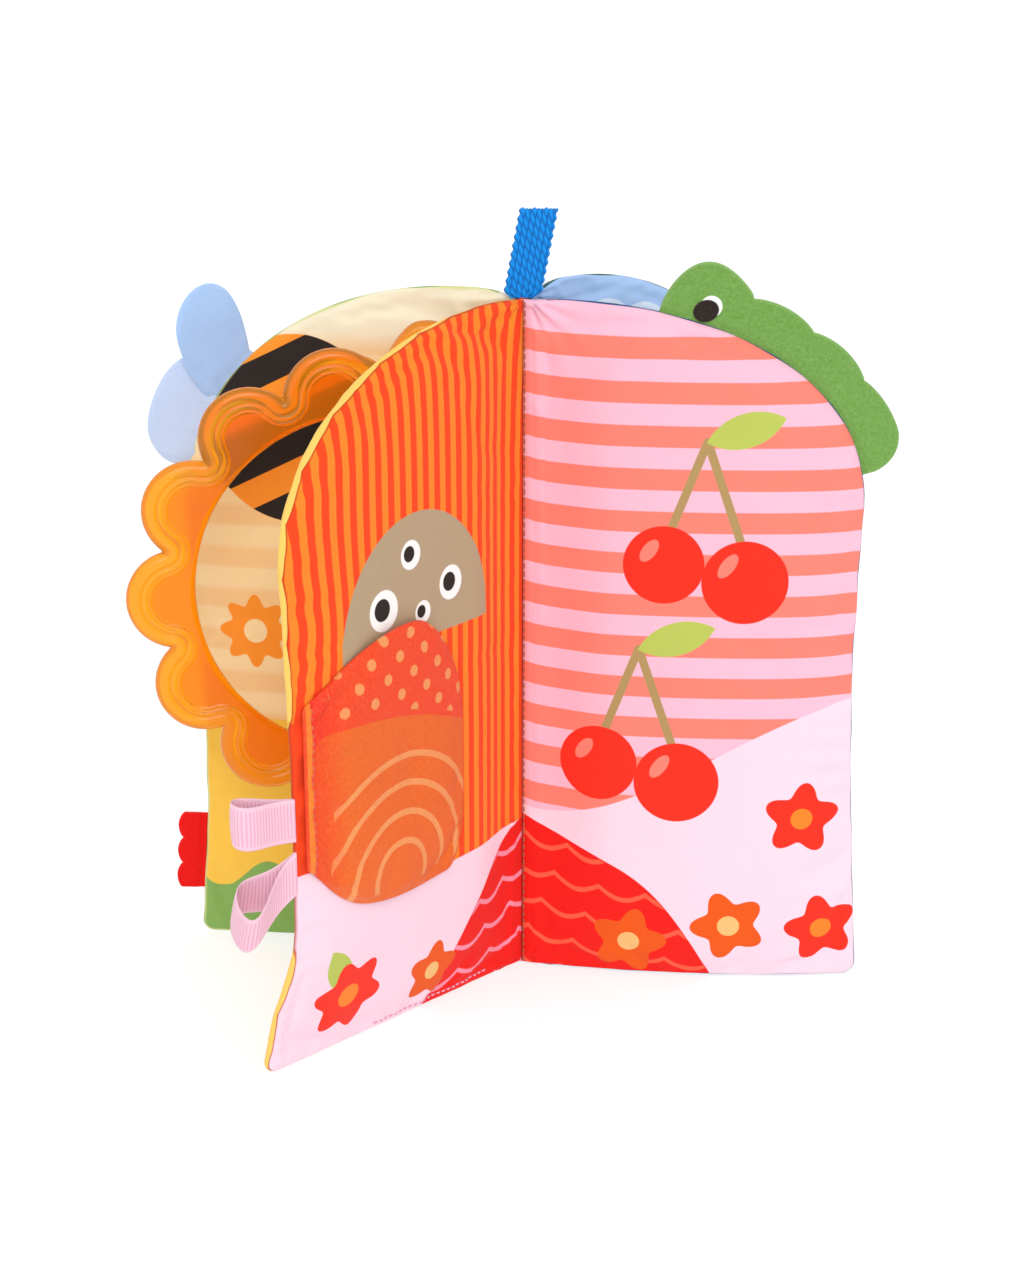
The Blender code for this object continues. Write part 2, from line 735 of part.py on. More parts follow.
def make_ring_tab(name, sign, material):
    """A cloth tab whose two plies are sewn to both sides of one tongue of the ring."""
    heading = math.radians(ring_heading)
    direction = Vector((math.cos(heading), math.sin(heading), 0))
    side = Vector((-direction.y, direction.x, 0))
    origin = Vector((-tab_line_x, 0, 0))
    low = ring_centre_height + sign * tongue_inner_height - sign * tab_margin
    high = ring_centre_height + sign * tongue_outer_height + sign * tab_margin
    gap = tongue_half_thickness + layer_gap
    throat = tongue_reach - layer_gap
    outline = [(share * tab_half_thickness, tab_half_thickness * math.sqrt(1 - share ** 2))
               for share in root_column_shares]
    outline += [(throat, gap + tab_ply_thickness), (tab_reach, gap + tab_ply_thickness), (tab_reach, gap)]
    outline += [(throat, gap), (throat, -gap), (tab_reach, -gap), (tab_reach, -gap - tab_ply_thickness)]
    outline += [(throat, -gap - tab_ply_thickness)]
    outline += [(share * tab_half_thickness, -tab_half_thickness * math.sqrt(1 - share ** 2))
                for share in reversed(root_column_shares)]
    count = len(outline)
    points = [origin + direction * out + side * across + Vector((0, 0, height))
              for height in (low, high) for out, across in outline]
    faces = [tuple(range(count)), tuple(range(count, 2 * count))]
    faces += [(i, (i + 1) % count, count + (i + 1) % count, count + i) for i in range(count)]
    add_body(name, points, faces, material, origin)


def main():
    clear_scene()
    left_page = Leaf("left_page", -1, -1, left_page_headings, 1, page_width, page_height,
                     page_arch_start, page_arch_foot, page_draw_in, left_page_twist_deg)
    right_page = Leaf("right_page", 1, -1, right_page_headings, -1, page_width, page_height,
                      page_arch_start, page_arch_foot, page_draw_in, 0, right_page_take_up)
    front_cover = Leaf("front_cover", -1, 1, front_cover_headings, 1, cover_width, front_cover_height,
                       cover_arch_start, cover_arch_foot, cover_draw_in)
    back_cover = Leaf("back_cover", 1, 1, back_cover_headings, -1, cover_width, back_cover_height,
                      cover_arch_start, cover_arch_foot, cover_draw_in)
    leaf_colors = (
        (left_page, red_print, yellow_cloth),
        (right_page, coral_print, navy_cloth),
        (front_cover, cream_print, green_cloth),
        (back_cover, blue_print, dark_green_cloth),
    )
    for leaf, front_color, back_color in leaf_colors:
        make_leaf(leaf,
                  make_material(leaf.name + "_print", front_color, 0.8),
                  make_material(leaf.name + "_cloth", back_color, 0.8),
                  make_material(leaf.name + "_wadding", white_wadding, 0.95),
                  make_material(leaf.name + "_film", clear_film, 0.25))
    make_spine(make_material("spine_cloth", spine_red, 0.85))
    make_webbing(make_material("webbing", webbing_blue, 0.7))
    make_flap(left_page, make_material("flap_satin", flap_red, 0.45),
              make_material("flap_lining", flap_orange, 0.8))
    make_ribbon("ribbon_loop_upper", left_page, upper_ribbon_low, upper_ribbon_rise,
                make_material("ribbon_upper", ribbon_pink, 0.5))
    make_ribbon("ribbon_loop_lower", left_page, lower_ribbon_low, lower_ribbon_rise,
                make_material("ribbon_lower", ribbon_pink, 0.5))
    make_crest(right_page, make_material("green_felt", felt_green, 0.95))
    make_wing("wing_upper", front_cover, upper_wing_arch_share, upper_wing_base, upper_wing_length,
              upper_wing_width, upper_wing_lean, upper_wing_tilt_deg,
              make_material("wing_blue", upper_wing_blue, 0.6))
    make_wing("wing_lower", front_cover, lower_wing_arch_share, lower_wing_base, lower_wing_length,
              lower_wing_width, lower_wing_lean, lower_wing_tilt_deg,
              make_material("wing_pale_blue", lower_wing_blue, 0.6))
    make_tail(front_cover, make_material("red_felt", felt_red, 0.95))
    make_ring(make_material("orange_silicone", ring_orange, 0.25))
    make_ring_tab("ring_tab_lower", -1, make_material("ring_tab_lower_cloth", cream_print, 0.85))
    make_ring_tab("ring_tab_upper", 1, make_material("ring_tab_upper_cloth", cream_print, 0.85))


main()
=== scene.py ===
"""The looks of a soft cloth book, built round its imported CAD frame. Metres, +Z up, the reader sits at -Y."""

import math
from dataclasses import dataclass

import bmesh
import bpy
import numpy as np
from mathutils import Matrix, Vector, geometry, noise
from mathutils.bvhtree import BVHTree


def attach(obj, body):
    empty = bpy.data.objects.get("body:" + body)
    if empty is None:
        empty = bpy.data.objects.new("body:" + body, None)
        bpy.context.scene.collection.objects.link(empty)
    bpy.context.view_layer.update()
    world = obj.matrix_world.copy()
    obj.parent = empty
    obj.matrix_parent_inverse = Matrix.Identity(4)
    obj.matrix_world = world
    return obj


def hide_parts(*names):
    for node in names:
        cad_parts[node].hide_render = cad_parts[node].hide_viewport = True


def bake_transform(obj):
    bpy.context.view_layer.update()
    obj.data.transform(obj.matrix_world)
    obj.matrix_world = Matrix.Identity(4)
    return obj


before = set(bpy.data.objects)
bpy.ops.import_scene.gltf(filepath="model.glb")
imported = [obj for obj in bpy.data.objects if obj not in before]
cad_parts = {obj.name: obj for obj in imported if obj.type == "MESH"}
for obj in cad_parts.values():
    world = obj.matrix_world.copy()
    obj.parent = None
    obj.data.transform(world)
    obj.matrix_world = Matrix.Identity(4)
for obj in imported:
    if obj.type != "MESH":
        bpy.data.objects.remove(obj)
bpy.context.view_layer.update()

MM = 0.001
upward = np.array([0, 0, 1])

# The camera, fitted to the leaves' corners in the photograph
camera_distance = 0.79396
camera_pitch = 0.30334
camera_aim_x = -0.004475
camera_aim_z = 0.125977
focal_pixels = 2200
frame_pixels_high = 1282
sensor_height = 36

# The leaves: the same sizes as in the CAD model
spine_height = 250 * MM
seam_half = 1.2 * MM
leaf_line_x = 2.6 * MM
leaf_line_y = 2.0 * MM
spine_pinch_width = 16 * MM
spine_pinch_depth = 0.6 * MM
arch_exponent = 2.1
twist_height = 60 * MM
corner_radius = 5 * MM

# Light and floor
cloth_brightness = 0.82
floor_brightness = 0.42
floor_glow = 0.64
floor_reach = 40
floor_level = -0.5 * MM
sky_strength = 1.0
lamp_strength = 1.3
lamp_angle_deg = 35
lamp_from = (0.1, -0.9, 0.55)

# Seams, stuffing and folds
crease_half_width = 2.8 * MM
crease_half_depth = 1.5 * MM
hem_stitch_heights = (2.0 * MM, 3.2 * MM)
hem_stitch_reaches = (74 * MM, 15 * MM)
layer_gap = 0.3 * MM
page_half_thickness = 2.6 * MM
edge_roll_width = 14 * MM
weld_distance = 0.001 * MM
triangle_row_share = 0.87
start_lift = 1 * MM
start_lift_reach = 10 * MM
seam_lift_share = 0.3
place_clearance = 0.6
sewn_distance = 1e-5
far_away = 1e9
simulation_scale = 10
simulation_frames = 18
cast_height = 50 * MM
plain_swell_reach = 24 * MM
leaf_columns = 96
leaf_rows = 150
leaf_spacing = 3.2 * MM
leaf_cap = 6.5 * MM
spine_cap = 1.5 * MM
spine_cap_start = 6 * MM
spine_cap_run = 25 * MM
edge_wavelength = 21 * MM
edge_wave_reach = 12 * MM
spine_quiet_reach = 20 * MM
pucker_wavelength = 6.5 * MM
pucker_reach = 5 * MM
pucker_start = 2 * MM
gather_wavelength = 13 * MM
gather_slant = 0.25
upright_wavelength = 4.6 * MM
upright_slant = 0.04
pinch_wavelength = 21 * MM
pinch_drift = 4 * MM
pinch_drift_turns = 60
pinch_exponent = 0.4
pinch_reach = 4.5 * MM
gather_reach = 9 * MM
gather_start = 4 * MM

# The cloth that rolls from the leaves into the spine's seam
spine_half_width = 2.1 * MM
spine_half_depth = 1.0 * MM
spine_top = 250.5 * MM
spine_sway = 0.15 * MM
gutter_root = 1.2 * MM
gutter_reach = 10 * MM
gutter_lift = 0.3 * MM
gutter_thickness = 0.4 * MM
gutter_knee = 2.2 * MM
gutter_steps = 9
gutter_rim = 6

# Tucks that run out from the spine's two ends, and a sway of the free edges
tuck_depth = 0.9 * MM
tuck_reach = 15 * MM
tuck_start = 2.5 * MM
tucks_per_turn = 15
edge_sway = 0.22 * MM
edge_sway_wavelength = 46 * MM
print_pull_reach = 20 * MM
print_rise_reach = 5 * MM

# The left page's rolled edge, in cloth millimetres: its width, and its starts, ends and fading along the seam
roll_width = 0.6
roll_least = 0.6
rolls = ((121, 168, 6), (249, 415, 70))

# The scalloped lines of the hills, in cloth millimetres
scallop_width = 17
scallop_depth = 3.6
scallop_step = 12.5
scallop_line_half = 0.95

# The teether
tab_line_x = 3.4 * MM
ring_heading = 190
ring_centre_reach = 51.5 * MM
ring_centre_height = 150 * MM
ring_hole_radius = 61 * MM
ring_lobe_centre_radius = 67.5 * MM
ring_lobe_radius = 17.7 * MM
ring_half_thickness = 3 * MM
ring_lobe_pitch_deg = 27.5
ring_lobe_phase_deg = 11.9
ring_end_deg = 114
ring_last_lobe_deg = 88
ring_last_lobe_span_deg = 15
ring_last_lobe_rise = 11 * MM
ring_columns = 420
ring_edge_radius = 2.6 * MM
ring_level_depth = 10.5 * MM
ring_groove_depths = (5.2 * MM, 7.6 * MM)
ring_groove_width = 0.55 * MM
ring_groove_depth = 0.55 * MM
ring_web_drop = 0.7 * MM
ring_web_slope = 1.6 * MM
ring_hole_edge_radius = 2.2 * MM
ring_hole_clearance = 5 * MM
tongue_half_thickness = 1 * MM
tongue_reach = 4.5 * MM
tongue_root_reach = 13.5 * MM
tongue_inner_height = 46 * MM
tongue_outer_height = 68 * MM
tab_ply_thickness = 0.4 * MM
tab_ply_gap = 0.15 * MM
tab_reach = 9.5 * MM
tab_margin = 1 * MM

# Webbing and ribbons
webbing_width = 13 * MM
webbing_thickness = 1.3 * MM
webbing_length = 29 * MM
webbing_lean = 5.5 * MM
webbing_root = 2.0 * MM
webbing_root_taper_share = 0.4
webbing_fold = 0.6 * MM
webbing_rows = 96
webbing_column = webbing_width / 6.5
webbing_step = 3.0 * MM
webbing_relief_height = 0.75 * MM
webbing_inner_relief_share = 0.35
webbing_bulge = 0.28 * MM
webbing_path_step = 0.24 * MM
ribbon_width = 15 * MM
ribbon_thickness = 0.7 * MM
ribbon_loop_length = 19.5 * MM
ribbon_loop_bulges = (5.5 * MM, 10 * MM)
ribbon_twists_deg = (0, -24)
ribbon_turn_deg = -25
ribbon_root = 1.5 * MM
ribbon_rib = 1.25 * MM
ribbon_rib_height = 0.11 * MM
ribbon_selvedge = 1.1 * MM
ribbon_curl = 0.35 * MM
upper_ribbon_low = 88.5 * MM
lower_ribbon_low = 69 * MM
upper_ribbon_rise = 2 * MM
lower_ribbon_rise = -13 * MM

# The flap
flap_line_inset = 2.5 * MM
flap_low = 57 * MM
flap_high = 133.5 * MM
flap_seam_low = 78 * MM
flap_peak = 152.5 * MM
flap_length = 75.5 * MM
flap_middle_half = 1.4 * MM
flap_lift_deg = 3
flap_bulge = 3 * MM
flap_peak_share = 0.6
flap_flare_share = 0.2
flap_flare_exponent = 1.3
flap_tip_round_share = 0.35
flap_tip_drop_share = 0.31
flap_toe_round_share = 0.13
flap_toe_rise_share = 0.26
flap_fold_depth = 0.55 * MM
flap_fold_width = 42 * MM
flap_dent = (41 * MM, 97 * MM)
flap_dent_depth = 1.3 * MM
flap_dent_reach = 9 * MM
flap_fold_slant = 0.25
flap_fold_start = 1.2
flap_fold_edge = 5 * MM
flap_groove_depth = 0.5 * MM
flap_groove_width = 0.9 * MM
flap_groove_edge = 1.5 * MM
flap_tuck_height = 0.2 * MM
flap_tuck_wavelength = 9 * MM
flap_tuck_reach = 4 * MM
flap_stitch_run = 3.2 * MM

# Felt pieces and wings
crest_thickness = 3 * MM
crest_start = 45 * MM
crest_low = 190 * MM
crest_columns = 220
crest_root = 3 * MM
crest_head_height = 20.5 * MM
crest_back_height = 15.5 * MM
crest_notch_height = 13.3 * MM
crest_notch_shares = (0, 0.247, 0.453, 0.68, 1)
crest_end_share = 0.42
crest_head_exponent = 0.6
crest_scallop_exponent = 0.7
felt_fuzz = 0.12 * MM
felt_fuzz_size = 1.3 * MM
felt_edge_radius = 0.7 * MM
felt_seam_run = 1.6 * MM
wing_seam_half = 0.8 * MM
wing_root = 3 * MM
wing_root_share = 0.75
wing_root_bend_share = 0.6
wing_tip_share = 0.45
wing_tip_exponent = 2.2
wing_pull_height = 0.12 * MM
wing_pull_reach = 7 * MM
wing_tuck_height = 0.05 * MM
wing_tuck_wavelength = 6 * MM
wing_tuck_reach = 3 * MM
wing_wave_height = 0.25 * MM
wing_wavelength = 26 * MM
tail_thickness = 3 * MM
tail_low = 18 * MM
tail_high = 49 * MM
tail_scallops = 3
tail_reach = 9 * MM
tail_notch_reach = 6.6 * MM
tail_scallop_exponent = 0.6
tail_root = 2.4 * MM


@dataclass(eq=False)
class Leaf:
    """One leaf. Arrays of places on it are reach along the cloth, height, and offset to its front."""

    name: str
    side_x: int
    side_y: int
    headings: tuple
    front: int
    width: float
    height: float
    arch_start: float
    arch_foot: float
    draw_in: float
    twist_deg: float = 0
    take_up: float = 0
    print_pull: float = 0
    print_rise: float = 0
    pinch: float = 0.0003
    gathers: tuple = (0.0003, 0.0002)
    pleats: tuple = ()

    def heading(self, reach, height):
        start, end = self.headings
        twist = self.twist_deg * smooth_step(height / twist_height)
        return np.radians(start + (end - start) * reach / self.width + twist)

    def place(self, reach, height, offset):
        """Points in space for arrays of reach, height and offset."""
        start = self.heading(0 * reach, height)
        here = self.heading(reach, height)
        bend = math.radians(self.headings[1] - self.headings[0]) / self.width
        if bend == 0:
            x, y = np.cos(here) * reach, np.sin(here) * reach
        else:
            x, y = (np.sin(here) - np.sin(start)) / bend, (np.cos(start) - np.cos(here)) / bend
        x = x + self.side_x * leaf_line_x - np.sin(here) * self.front * offset
        y = y + self.side_y * leaf_line_y + np.cos(here) * self.front * offset
        return np.stack([x, y, height + 0 * x], -1)

    def top(self, reach):
        share = np.clip((reach - self.arch_start) / (self.width - self.arch_start), 0, 1)
        arch = (1 - share ** arch_exponent) ** (1 / arch_exponent)
        depth = self.height - spine_height + spine_pinch_depth
        pinch = depth * np.maximum(0, 1 - reach / spine_pinch_width) ** 2
        return self.arch_foot + (self.height - self.arch_foot) * arch - pinch

    def narrowing(self, height):
        rise = np.minimum(1, height / self.arch_foot)
        return self.draw_in * np.sin(np.pi * rise) + self.take_up * smooth_step(rise)

    def arch_share(self, height):
        """The share of the arch's quarter turn at which it passes a height."""
        level = (height - self.arch_foot) / (self.height - self.arch_foot)
        return math.acos(level ** (arch_exponent / 2)) * 2 / math.pi

    def arch_point(self, share):
        """Reach and height on the arch at a share of the quarter turn, and the way out of the leaf there."""
        angle = share * math.pi / 2
        run, rise, power = self.width - self.arch_start, self.height - self.arch_foot, 2 / arch_exponent
        reach = self.arch_start + run * math.sin(angle) ** power
        height = self.arch_foot + rise * math.cos(angle) ** power
        out = np.array([math.sin(angle) ** (2 - power) / run, math.cos(angle) ** (2 - power) / rise])
        reach -= self.narrowing(height) * (reach / self.width) ** 2
        return np.array([reach, height]), unit(out)


# Pleats, each from a start to an end as reach and height in millimetres, then its height and half width
left_page = Leaf(
    "left_page", side_x=-1, side_y=-1, headings=(226, 226), front=1, width=0.1225, height=0.25,
    arch_start=0.008, arch_foot=0.178, draw_in=0.003, twist_deg=7, print_pull=6 * MM, pinch=0.45 * MM,
    gathers=(0.12 * MM, 0.2 * MM),
    pleats=((3, 249, 8, 205, 0.5, 1.2), (7, 249, 19, 222, 0.5, 1.4), (4, 225, 6, 160, 0.3, 1.1),
            (2, 12, 14, 30, 0.7, 1.5), (12, 249, 34, 236, 0.6, 1.6)))
right_page = Leaf(
    "right_page", side_x=1, side_y=-1, headings=(346, 366), front=-1, width=0.1225, height=0.25,
    arch_start=0.008, arch_foot=0.178, draw_in=0.003, take_up=0.0047, print_rise=1.6 * MM,
    gathers=(0.3 * MM, 0.08 * MM),
    pleats=((1, 250, 13, 238, 1.5, 1.5), (2, 240, 10, 226, 0.8, 1.2), (1, 214, 9, 205, 0.6, 1.2),
            (1, 4, 14, 16, 0.8, 1.5), (30, 251, 26, 240, 0.5, 1.8)))
front_cover = Leaf(
    "front_cover", side_x=-1, side_y=1, headings=(160, 177), front=1, width=0.1245, height=0.2525,
    arch_start=0.02, arch_foot=0.165, draw_in=0.0045,
    pleats=((37, 253, 40, 236, 1.0, 1.3), (14, 252, 18, 238, 0.9, 1.3), (60, 249, 56, 238, 0.6, 1.8)))
back_cover = Leaf(
    "back_cover", side_x=1, side_y=1, headings=(46, 36), front=-1, width=0.1245, height=0.255,
    arch_start=0.02, arch_foot=0.165, draw_in=0.0045,
    pleats=((30, 256, 34, 238, 1.0, 1.5), (55, 254, 50, 240, 0.8, 1.6), (12, 252, 20, 238, 1.0, 1.4)))


def smooth_step(share):
    share = np.clip(share, 0, 1)
    return share * share * (3 - 2 * share)


def ripple(along, seed, wavelength, spread=0.35):
    """A smooth uneven wave, from -1 to 1, along a seam: four sines of unlike length."""
    total = 0
    for index in range(4):
        stretch = 1 + spread * (index - 1.5)
        total = total + np.sin(2 * np.pi * along / (wavelength * stretch) + seed * (index + 1) * 1.7)
    return total / 2.6


def uneven(along, seed, wavelength):
    """A slow wave from 0 to 1 that makes folds come and go along a seam."""
    return smooth_step(0.5 + 0.6 * ripple(along, seed + 5, wavelength, 0.5))


def clustered(count, even=0.16):
    """Shares from 0 to 1, closer together at both ends."""
    line = np.linspace(0, 1, count)
    return even * line + (1 - even) * (0.5 - 0.5 * np.cos(np.pi * line))


def round_edge(distance, radius):
    """Half thickness of a rounded edge at a distance in from it."""
    inward = np.clip(distance / radius, 0, 1)
    return radius * np.sqrt(1 - (1 - inward) ** 2)


def round_corner(share, width_share):
    """How far a line falls at its end, from 0 to 1, to turn a corner in a quarter of an oval."""
    inside = np.clip((share - 1 + width_share) / width_share, 0, 1)
    return 1 - np.sqrt(1 - inside ** 2)


def unit(vector):
    vector = np.asarray(vector, float)
    return vector / np.maximum(1e-12, np.linalg.norm(vector, axis=-1, keepdims=True))


def add_object(name, data):
    piece = bpy.data.objects.new(name, data)
    bpy.context.scene.collection.objects.link(piece)
    return piece


def settle(piece, body, slot, *nodes):
    """Lets a piece stand for CAD nodes, which it hides, and ride on a body. slot is not used."""
    if nodes:
        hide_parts(*nodes)
    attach(piece, body)


def ways(heading):
    """The level way that a heading points to, and the way to its left."""
    ahead = np.array([math.cos(heading), math.sin(heading), 0])
    return ahead, np.array([-ahead[1], ahead[0], 0])


def edge_line(leaf, low, high, radius):
    """Foot of a line beside a leaf's outer edge between two heights, and the way up it."""
    ends = []
    for height in (np.array(low), np.array(high)):
        reach = leaf.width - leaf.narrowing(height) + radius + layer_gap
        ends.append(leaf.place(reach, height, np.array(0.0)))
    return ends[0], ends[1] - ends[0]


def mesh_object(name, points, faces, material, **values):
    """A mesh object whose points keep named values for its material. Its faces are turned outwards."""
    mesh = bpy.data.meshes.new(name)
    mesh.from_pydata(np.asarray(points, float).tolist(), [], faces)
    for key, value in values.items():
        value = np.asarray(value, np.float32)
        kind, field = ("FLOAT", "value") if value.ndim == 1 else ("FLOAT_VECTOR", "vector")
        mesh.attributes.new(key, kind, "POINT").data.foreach_set(field, value.ravel())
    work = bmesh.new()
    work.from_mesh(mesh)
    bmesh.ops.remove_doubles(work, verts=work.verts, dist=weld_distance)
    bmesh.ops.dissolve_degenerate(work, edges=work.edges, dist=weld_distance)
    bmesh.ops.recalc_face_normals(work, faces=work.faces)
    work.to_mesh(mesh)
    work.free()
    mesh.materials.append(material)
    mesh.shade_smooth()
    return add_object(name, mesh)


def grid_faces(columns, rows):
    """The index of each point of a grid, and the four points of each of its faces."""
    index = np.arange(columns * rows).reshape(columns, rows)
    faces = np.stack([index[:-1, :-1], index[1:, :-1], index[1:, 1:], index[:-1, 1:]], -1).reshape(-1, 4)
    return index, faces


def rim_values(grid):
    """The values round the rim of a grid."""
    return np.concatenate([grid[:-1, 0], grid[-1, :-1], grid[:0:-1, -1], grid[0, :0:-1]])


def grid_body(name, near, far, material, cloth, **values):
    """A closed body between two grids of points of one layout.

    The grids have a column and a row index. cloth holds the millimetres along and across for both,
    and the third number kept with them is 1 on the near side and -1 on the far side, unless rim is given.
    """
    near, far = np.asarray(near, float), np.asarray(far, float)
    columns, rows = near.shape[:2]
    index, quads = grid_faces(columns, rows)
    rim = rim_values(index)
    after = np.roll(rim, -1)
    total = columns * rows
    sides = np.stack([rim, after, after + total, rim + total], -1)
    faces = np.concatenate([quads, quads[:, ::-1] + total, sides]).tolist()
    points = np.concatenate([near.reshape(-1, 3), far.reshape(-1, 3)])
    u, v = (np.broadcast_to(part, (columns, rows)).ravel() for part in cloth)
    inside = np.broadcast_to(values.pop("rim", 1.0), (columns, rows)).ravel()
    kept = np.concatenate([np.column_stack([u, v, inside]), np.column_stack([u, v, -inside])])
    more = {key: np.tile(np.broadcast_to(value, (columns, rows)).ravel(), 2) for key, value in values.items()}
    return mesh_object(name, points, faces, material, cloth=kept, **more)


# Stuffed pieces, filled by cloth simulation


def grid_rim(x, y):
    """The places round the rim of a grid."""
    return np.column_stack([rim_values(x), rim_values(y)])


def flat_places(x, y):
    """The places of a grid as one list."""
    return np.column_stack([np.ravel(x), np.ravel(y)])


def length_along(path):
    """The length along a flat path at each of its points."""
    return np.concatenate([[0], np.cumsum(np.hypot(*np.diff(path, axis=0).T))])


def follow(spots, along, path):
    """The points of a path at some lengths along it."""
    return np.column_stack([np.interp(spots, along, part) for part in path.T])


def evenly(path, step, closed):
    """A path of places with even steps. Its last place isn't repeated where it is closed."""
    path = np.asarray(path, float)
    if closed:
        path = np.concatenate([path, path[:1]])
    along = length_along(path)
    spots = np.linspace(0, along[-1], int(along[-1] / step), endpoint=not closed)
    return follow(spots, along, path)


def edge_distance(places, outline):
    """Distance of each place to an outline, and the length along it of the nearest point."""
    start, end = outline, np.roll(outline, -1, axis=0)
    along = length_along(np.concatenate([outline, outline[:1]]))
    best = np.full(len(places), far_away)
    where = np.zeros(len(places))
    for index, (a, b) in enumerate(zip(start, end)):
        way = b - a
        share = np.clip(((places - a) @ way) / (way @ way), 0, 1)
        distance = np.hypot(*(places - a - share[:, None] * way).T)
        near = distance < best
        best[near] = distance[near]
        where[near] = along[index] + share[near] * math.sqrt(way @ way)
    return best, where


def rim_distance(x, y):
    """Distance of each place of a grid to its rim."""
    return edge_distance(flat_places(x, y), grid_rim(x, y))[0].reshape(x.shape)


def inside_places(outline, spacing):
    """Places in rows inside an outline, clear of its edge."""
    low, high = outline.min(0), outline.max(0)
    rows = np.arange(low[1] + spacing, high[1], spacing * triangle_row_share)
    places = []
    for number, height in enumerate(rows):
        first = low[0] + spacing * (1 - 0.5 * (number % 2))
        places += [(x, height) for x in np.arange(first, high[0], spacing)]
    places = np.array(places)
    crossings = np.zeros(len(places), int)
    for a, b in zip(outline, np.roll(outline, -1, axis=0)):
        spans = (a[1] > places[:, 1]) != (b[1] > places[:, 1])
        rise = b[1] - a[1] if b[1] != a[1] else 1
        crossings += spans & (places[:, 0] < a[0] + (places[:, 1] - a[1]) / rise * (b[0] - a[0]))
    places = places[crossings % 2 == 1]
    distance, _ = edge_distance(places, outline)
    return places[distance > spacing * place_clearance]


def inflate(outline, spacing, pressure, growth):
    """Two flat panels sewn round an outline and filled by cloth simulation: their front and back surfaces.

    The panels are cut larger than the outline by growth, so that the sewn edge gathers them.
    """
    count = len(outline)
    places = np.concatenate([outline, inside_places(outline, spacing)])
    ring = [(i, (i + 1) % count) for i in range(count)]
    flat = geometry.delaunay_2d_cdt([Vector(p) for p in places], ring, [list(range(count))], 1, 1e-7)
    flat, faces = np.array([tuple(p) for p in flat[0]]), flat[2]
    distance, _ = edge_distance(flat, outline)
    sewn = distance < sewn_distance
    back_index = np.where(sewn, np.arange(len(flat)), 0)
    back_index[~sewn] = len(flat) + np.arange((~sewn).sum())
    lift = start_lift * (seam_lift_share + np.minimum(1, distance / start_lift_reach))
    front_points = np.column_stack([flat, np.where(sewn, 0, lift)])
    back_points = np.column_stack([flat[~sewn], -lift[~sewn]])
    points = np.concatenate([front_points, back_points]) * simulation_scale
    front_faces = [tuple(face) for face in faces]
    back_faces = [tuple(int(back_index[i]) for i in reversed(face)) for face in faces]
    mesh = bpy.data.meshes.new("pillow")
    mesh.from_pydata(points.tolist(), [], front_faces + back_faces)
    pillow = add_object("pillow", mesh)
    pin = pillow.vertex_groups.new(name="pin")
    pin.add([int(i) for i in np.nonzero(sewn)[0]], 1.0, "REPLACE")
    modifier = pillow.modifiers.new("cloth", "CLOTH")
    cloth = {"quality": 5, "mass": 0.15, "air_damping": 4, "tension_stiffness": 18,
             "compression_stiffness": 18, "shear_stiffness": 8, "bending_stiffness": 0.12,
             "vertex_group_mass": "pin", "use_pressure": True, "uniform_pressure_force": pressure,
             "shrink_min": -growth}
    for setting, value in cloth.items():
        setattr(modifier.settings, setting, value)
    modifier.settings.effector_weights.gravity = 0
    modifier.collision_settings.use_collision = False
    modifier.point_cache.frame_end = simulation_frames + 1
    for step in range(1, simulation_frames + 1):
        bpy.context.scene.frame_set(step)
    evaluated = pillow.evaluated_get(bpy.context.evaluated_depsgraph_get())
    moved = np.array([tuple(v.co) for v in evaluated.data.vertices]) / simulation_scale
    bpy.data.objects.remove(pillow, do_unlink=True)
    bpy.context.scene.frame_set(1)
    return [BVHTree.FromPolygons(moved.tolist(), part) for part in (front_faces, back_faces)]


def surface_height(surface, places, sign):
    """Offset of a panel over each place."""
    heights = np.zeros(len(places))
    for index, (x, y) in enumerate(places):
        hit = surface.ray_cast(Vector((x, y, sign * cast_height)), Vector((0, 0, -sign)))
        if hit[0] is not None:
            heights[index] = hit[0].z
    return heights


@dataclass
class Stuffed:
    """A stuffed piece on a grid of flat places: its offsets to the front and back, and what it is made of."""

    x: np.ndarray
    y: np.ndarray
    distance: np.ndarray
    along: np.ndarray
    offsets: dict
    piece: object = None

    def offset(self, x, y, sign):
        """Offset of one side over other places, read between the grid's points."""
        points = np.column_stack([flat_places(self.x, self.y), self.offsets[sign].ravel()])
        surface = BVHTree.FromPolygons(points.tolist(), grid_faces(*self.x.shape)[1].tolist())
        return surface_height(surface, flat_places(x, y), sign).reshape(np.shape(x))


def stuff(x, y, half, cap, folds, spacing, pressure=2.2, growth=0.035):
    """Fills a flat cut, given as a grid of places, between two panels sewn round its rim.

    half is the seam's half thickness, cap the most that a panel may stand out, and folds gives what
    is added to a panel from the places, their distance from the seam, the length along it and the side.
    """
    places = flat_places(x, y)
    loop = evenly(grid_rim(x, y), spacing / 2, closed=True)
    distance, along = edge_distance(places, loop)
    distance, along = distance.reshape(x.shape), along.reshape(x.shape)
    distance[0] = distance[-1] = distance[:, 0] = distance[:, -1] = 0
    offsets = {}
    surfaces = inflate(loop, spacing, pressure, growth)
    for side, sign in enumerate((1, -1)):
        if surfaces:
            swell = np.abs(surface_height(surfaces[side], places, sign)).reshape(x.shape)
        else:
            swell = cap / 2 * np.sin(np.pi / 2 * np.clip(distance / plain_swell_reach, 0, 1))
        swell = cap * np.tanh(swell / cap)
        body = np.sqrt(round_edge(distance, half) ** 2 + swell ** 2)
        offsets[sign] = sign * body * (distance > 0) + folds(x, y, distance, along, sign)
    return Stuffed(x, y, distance, along, offsets)


# Leaves


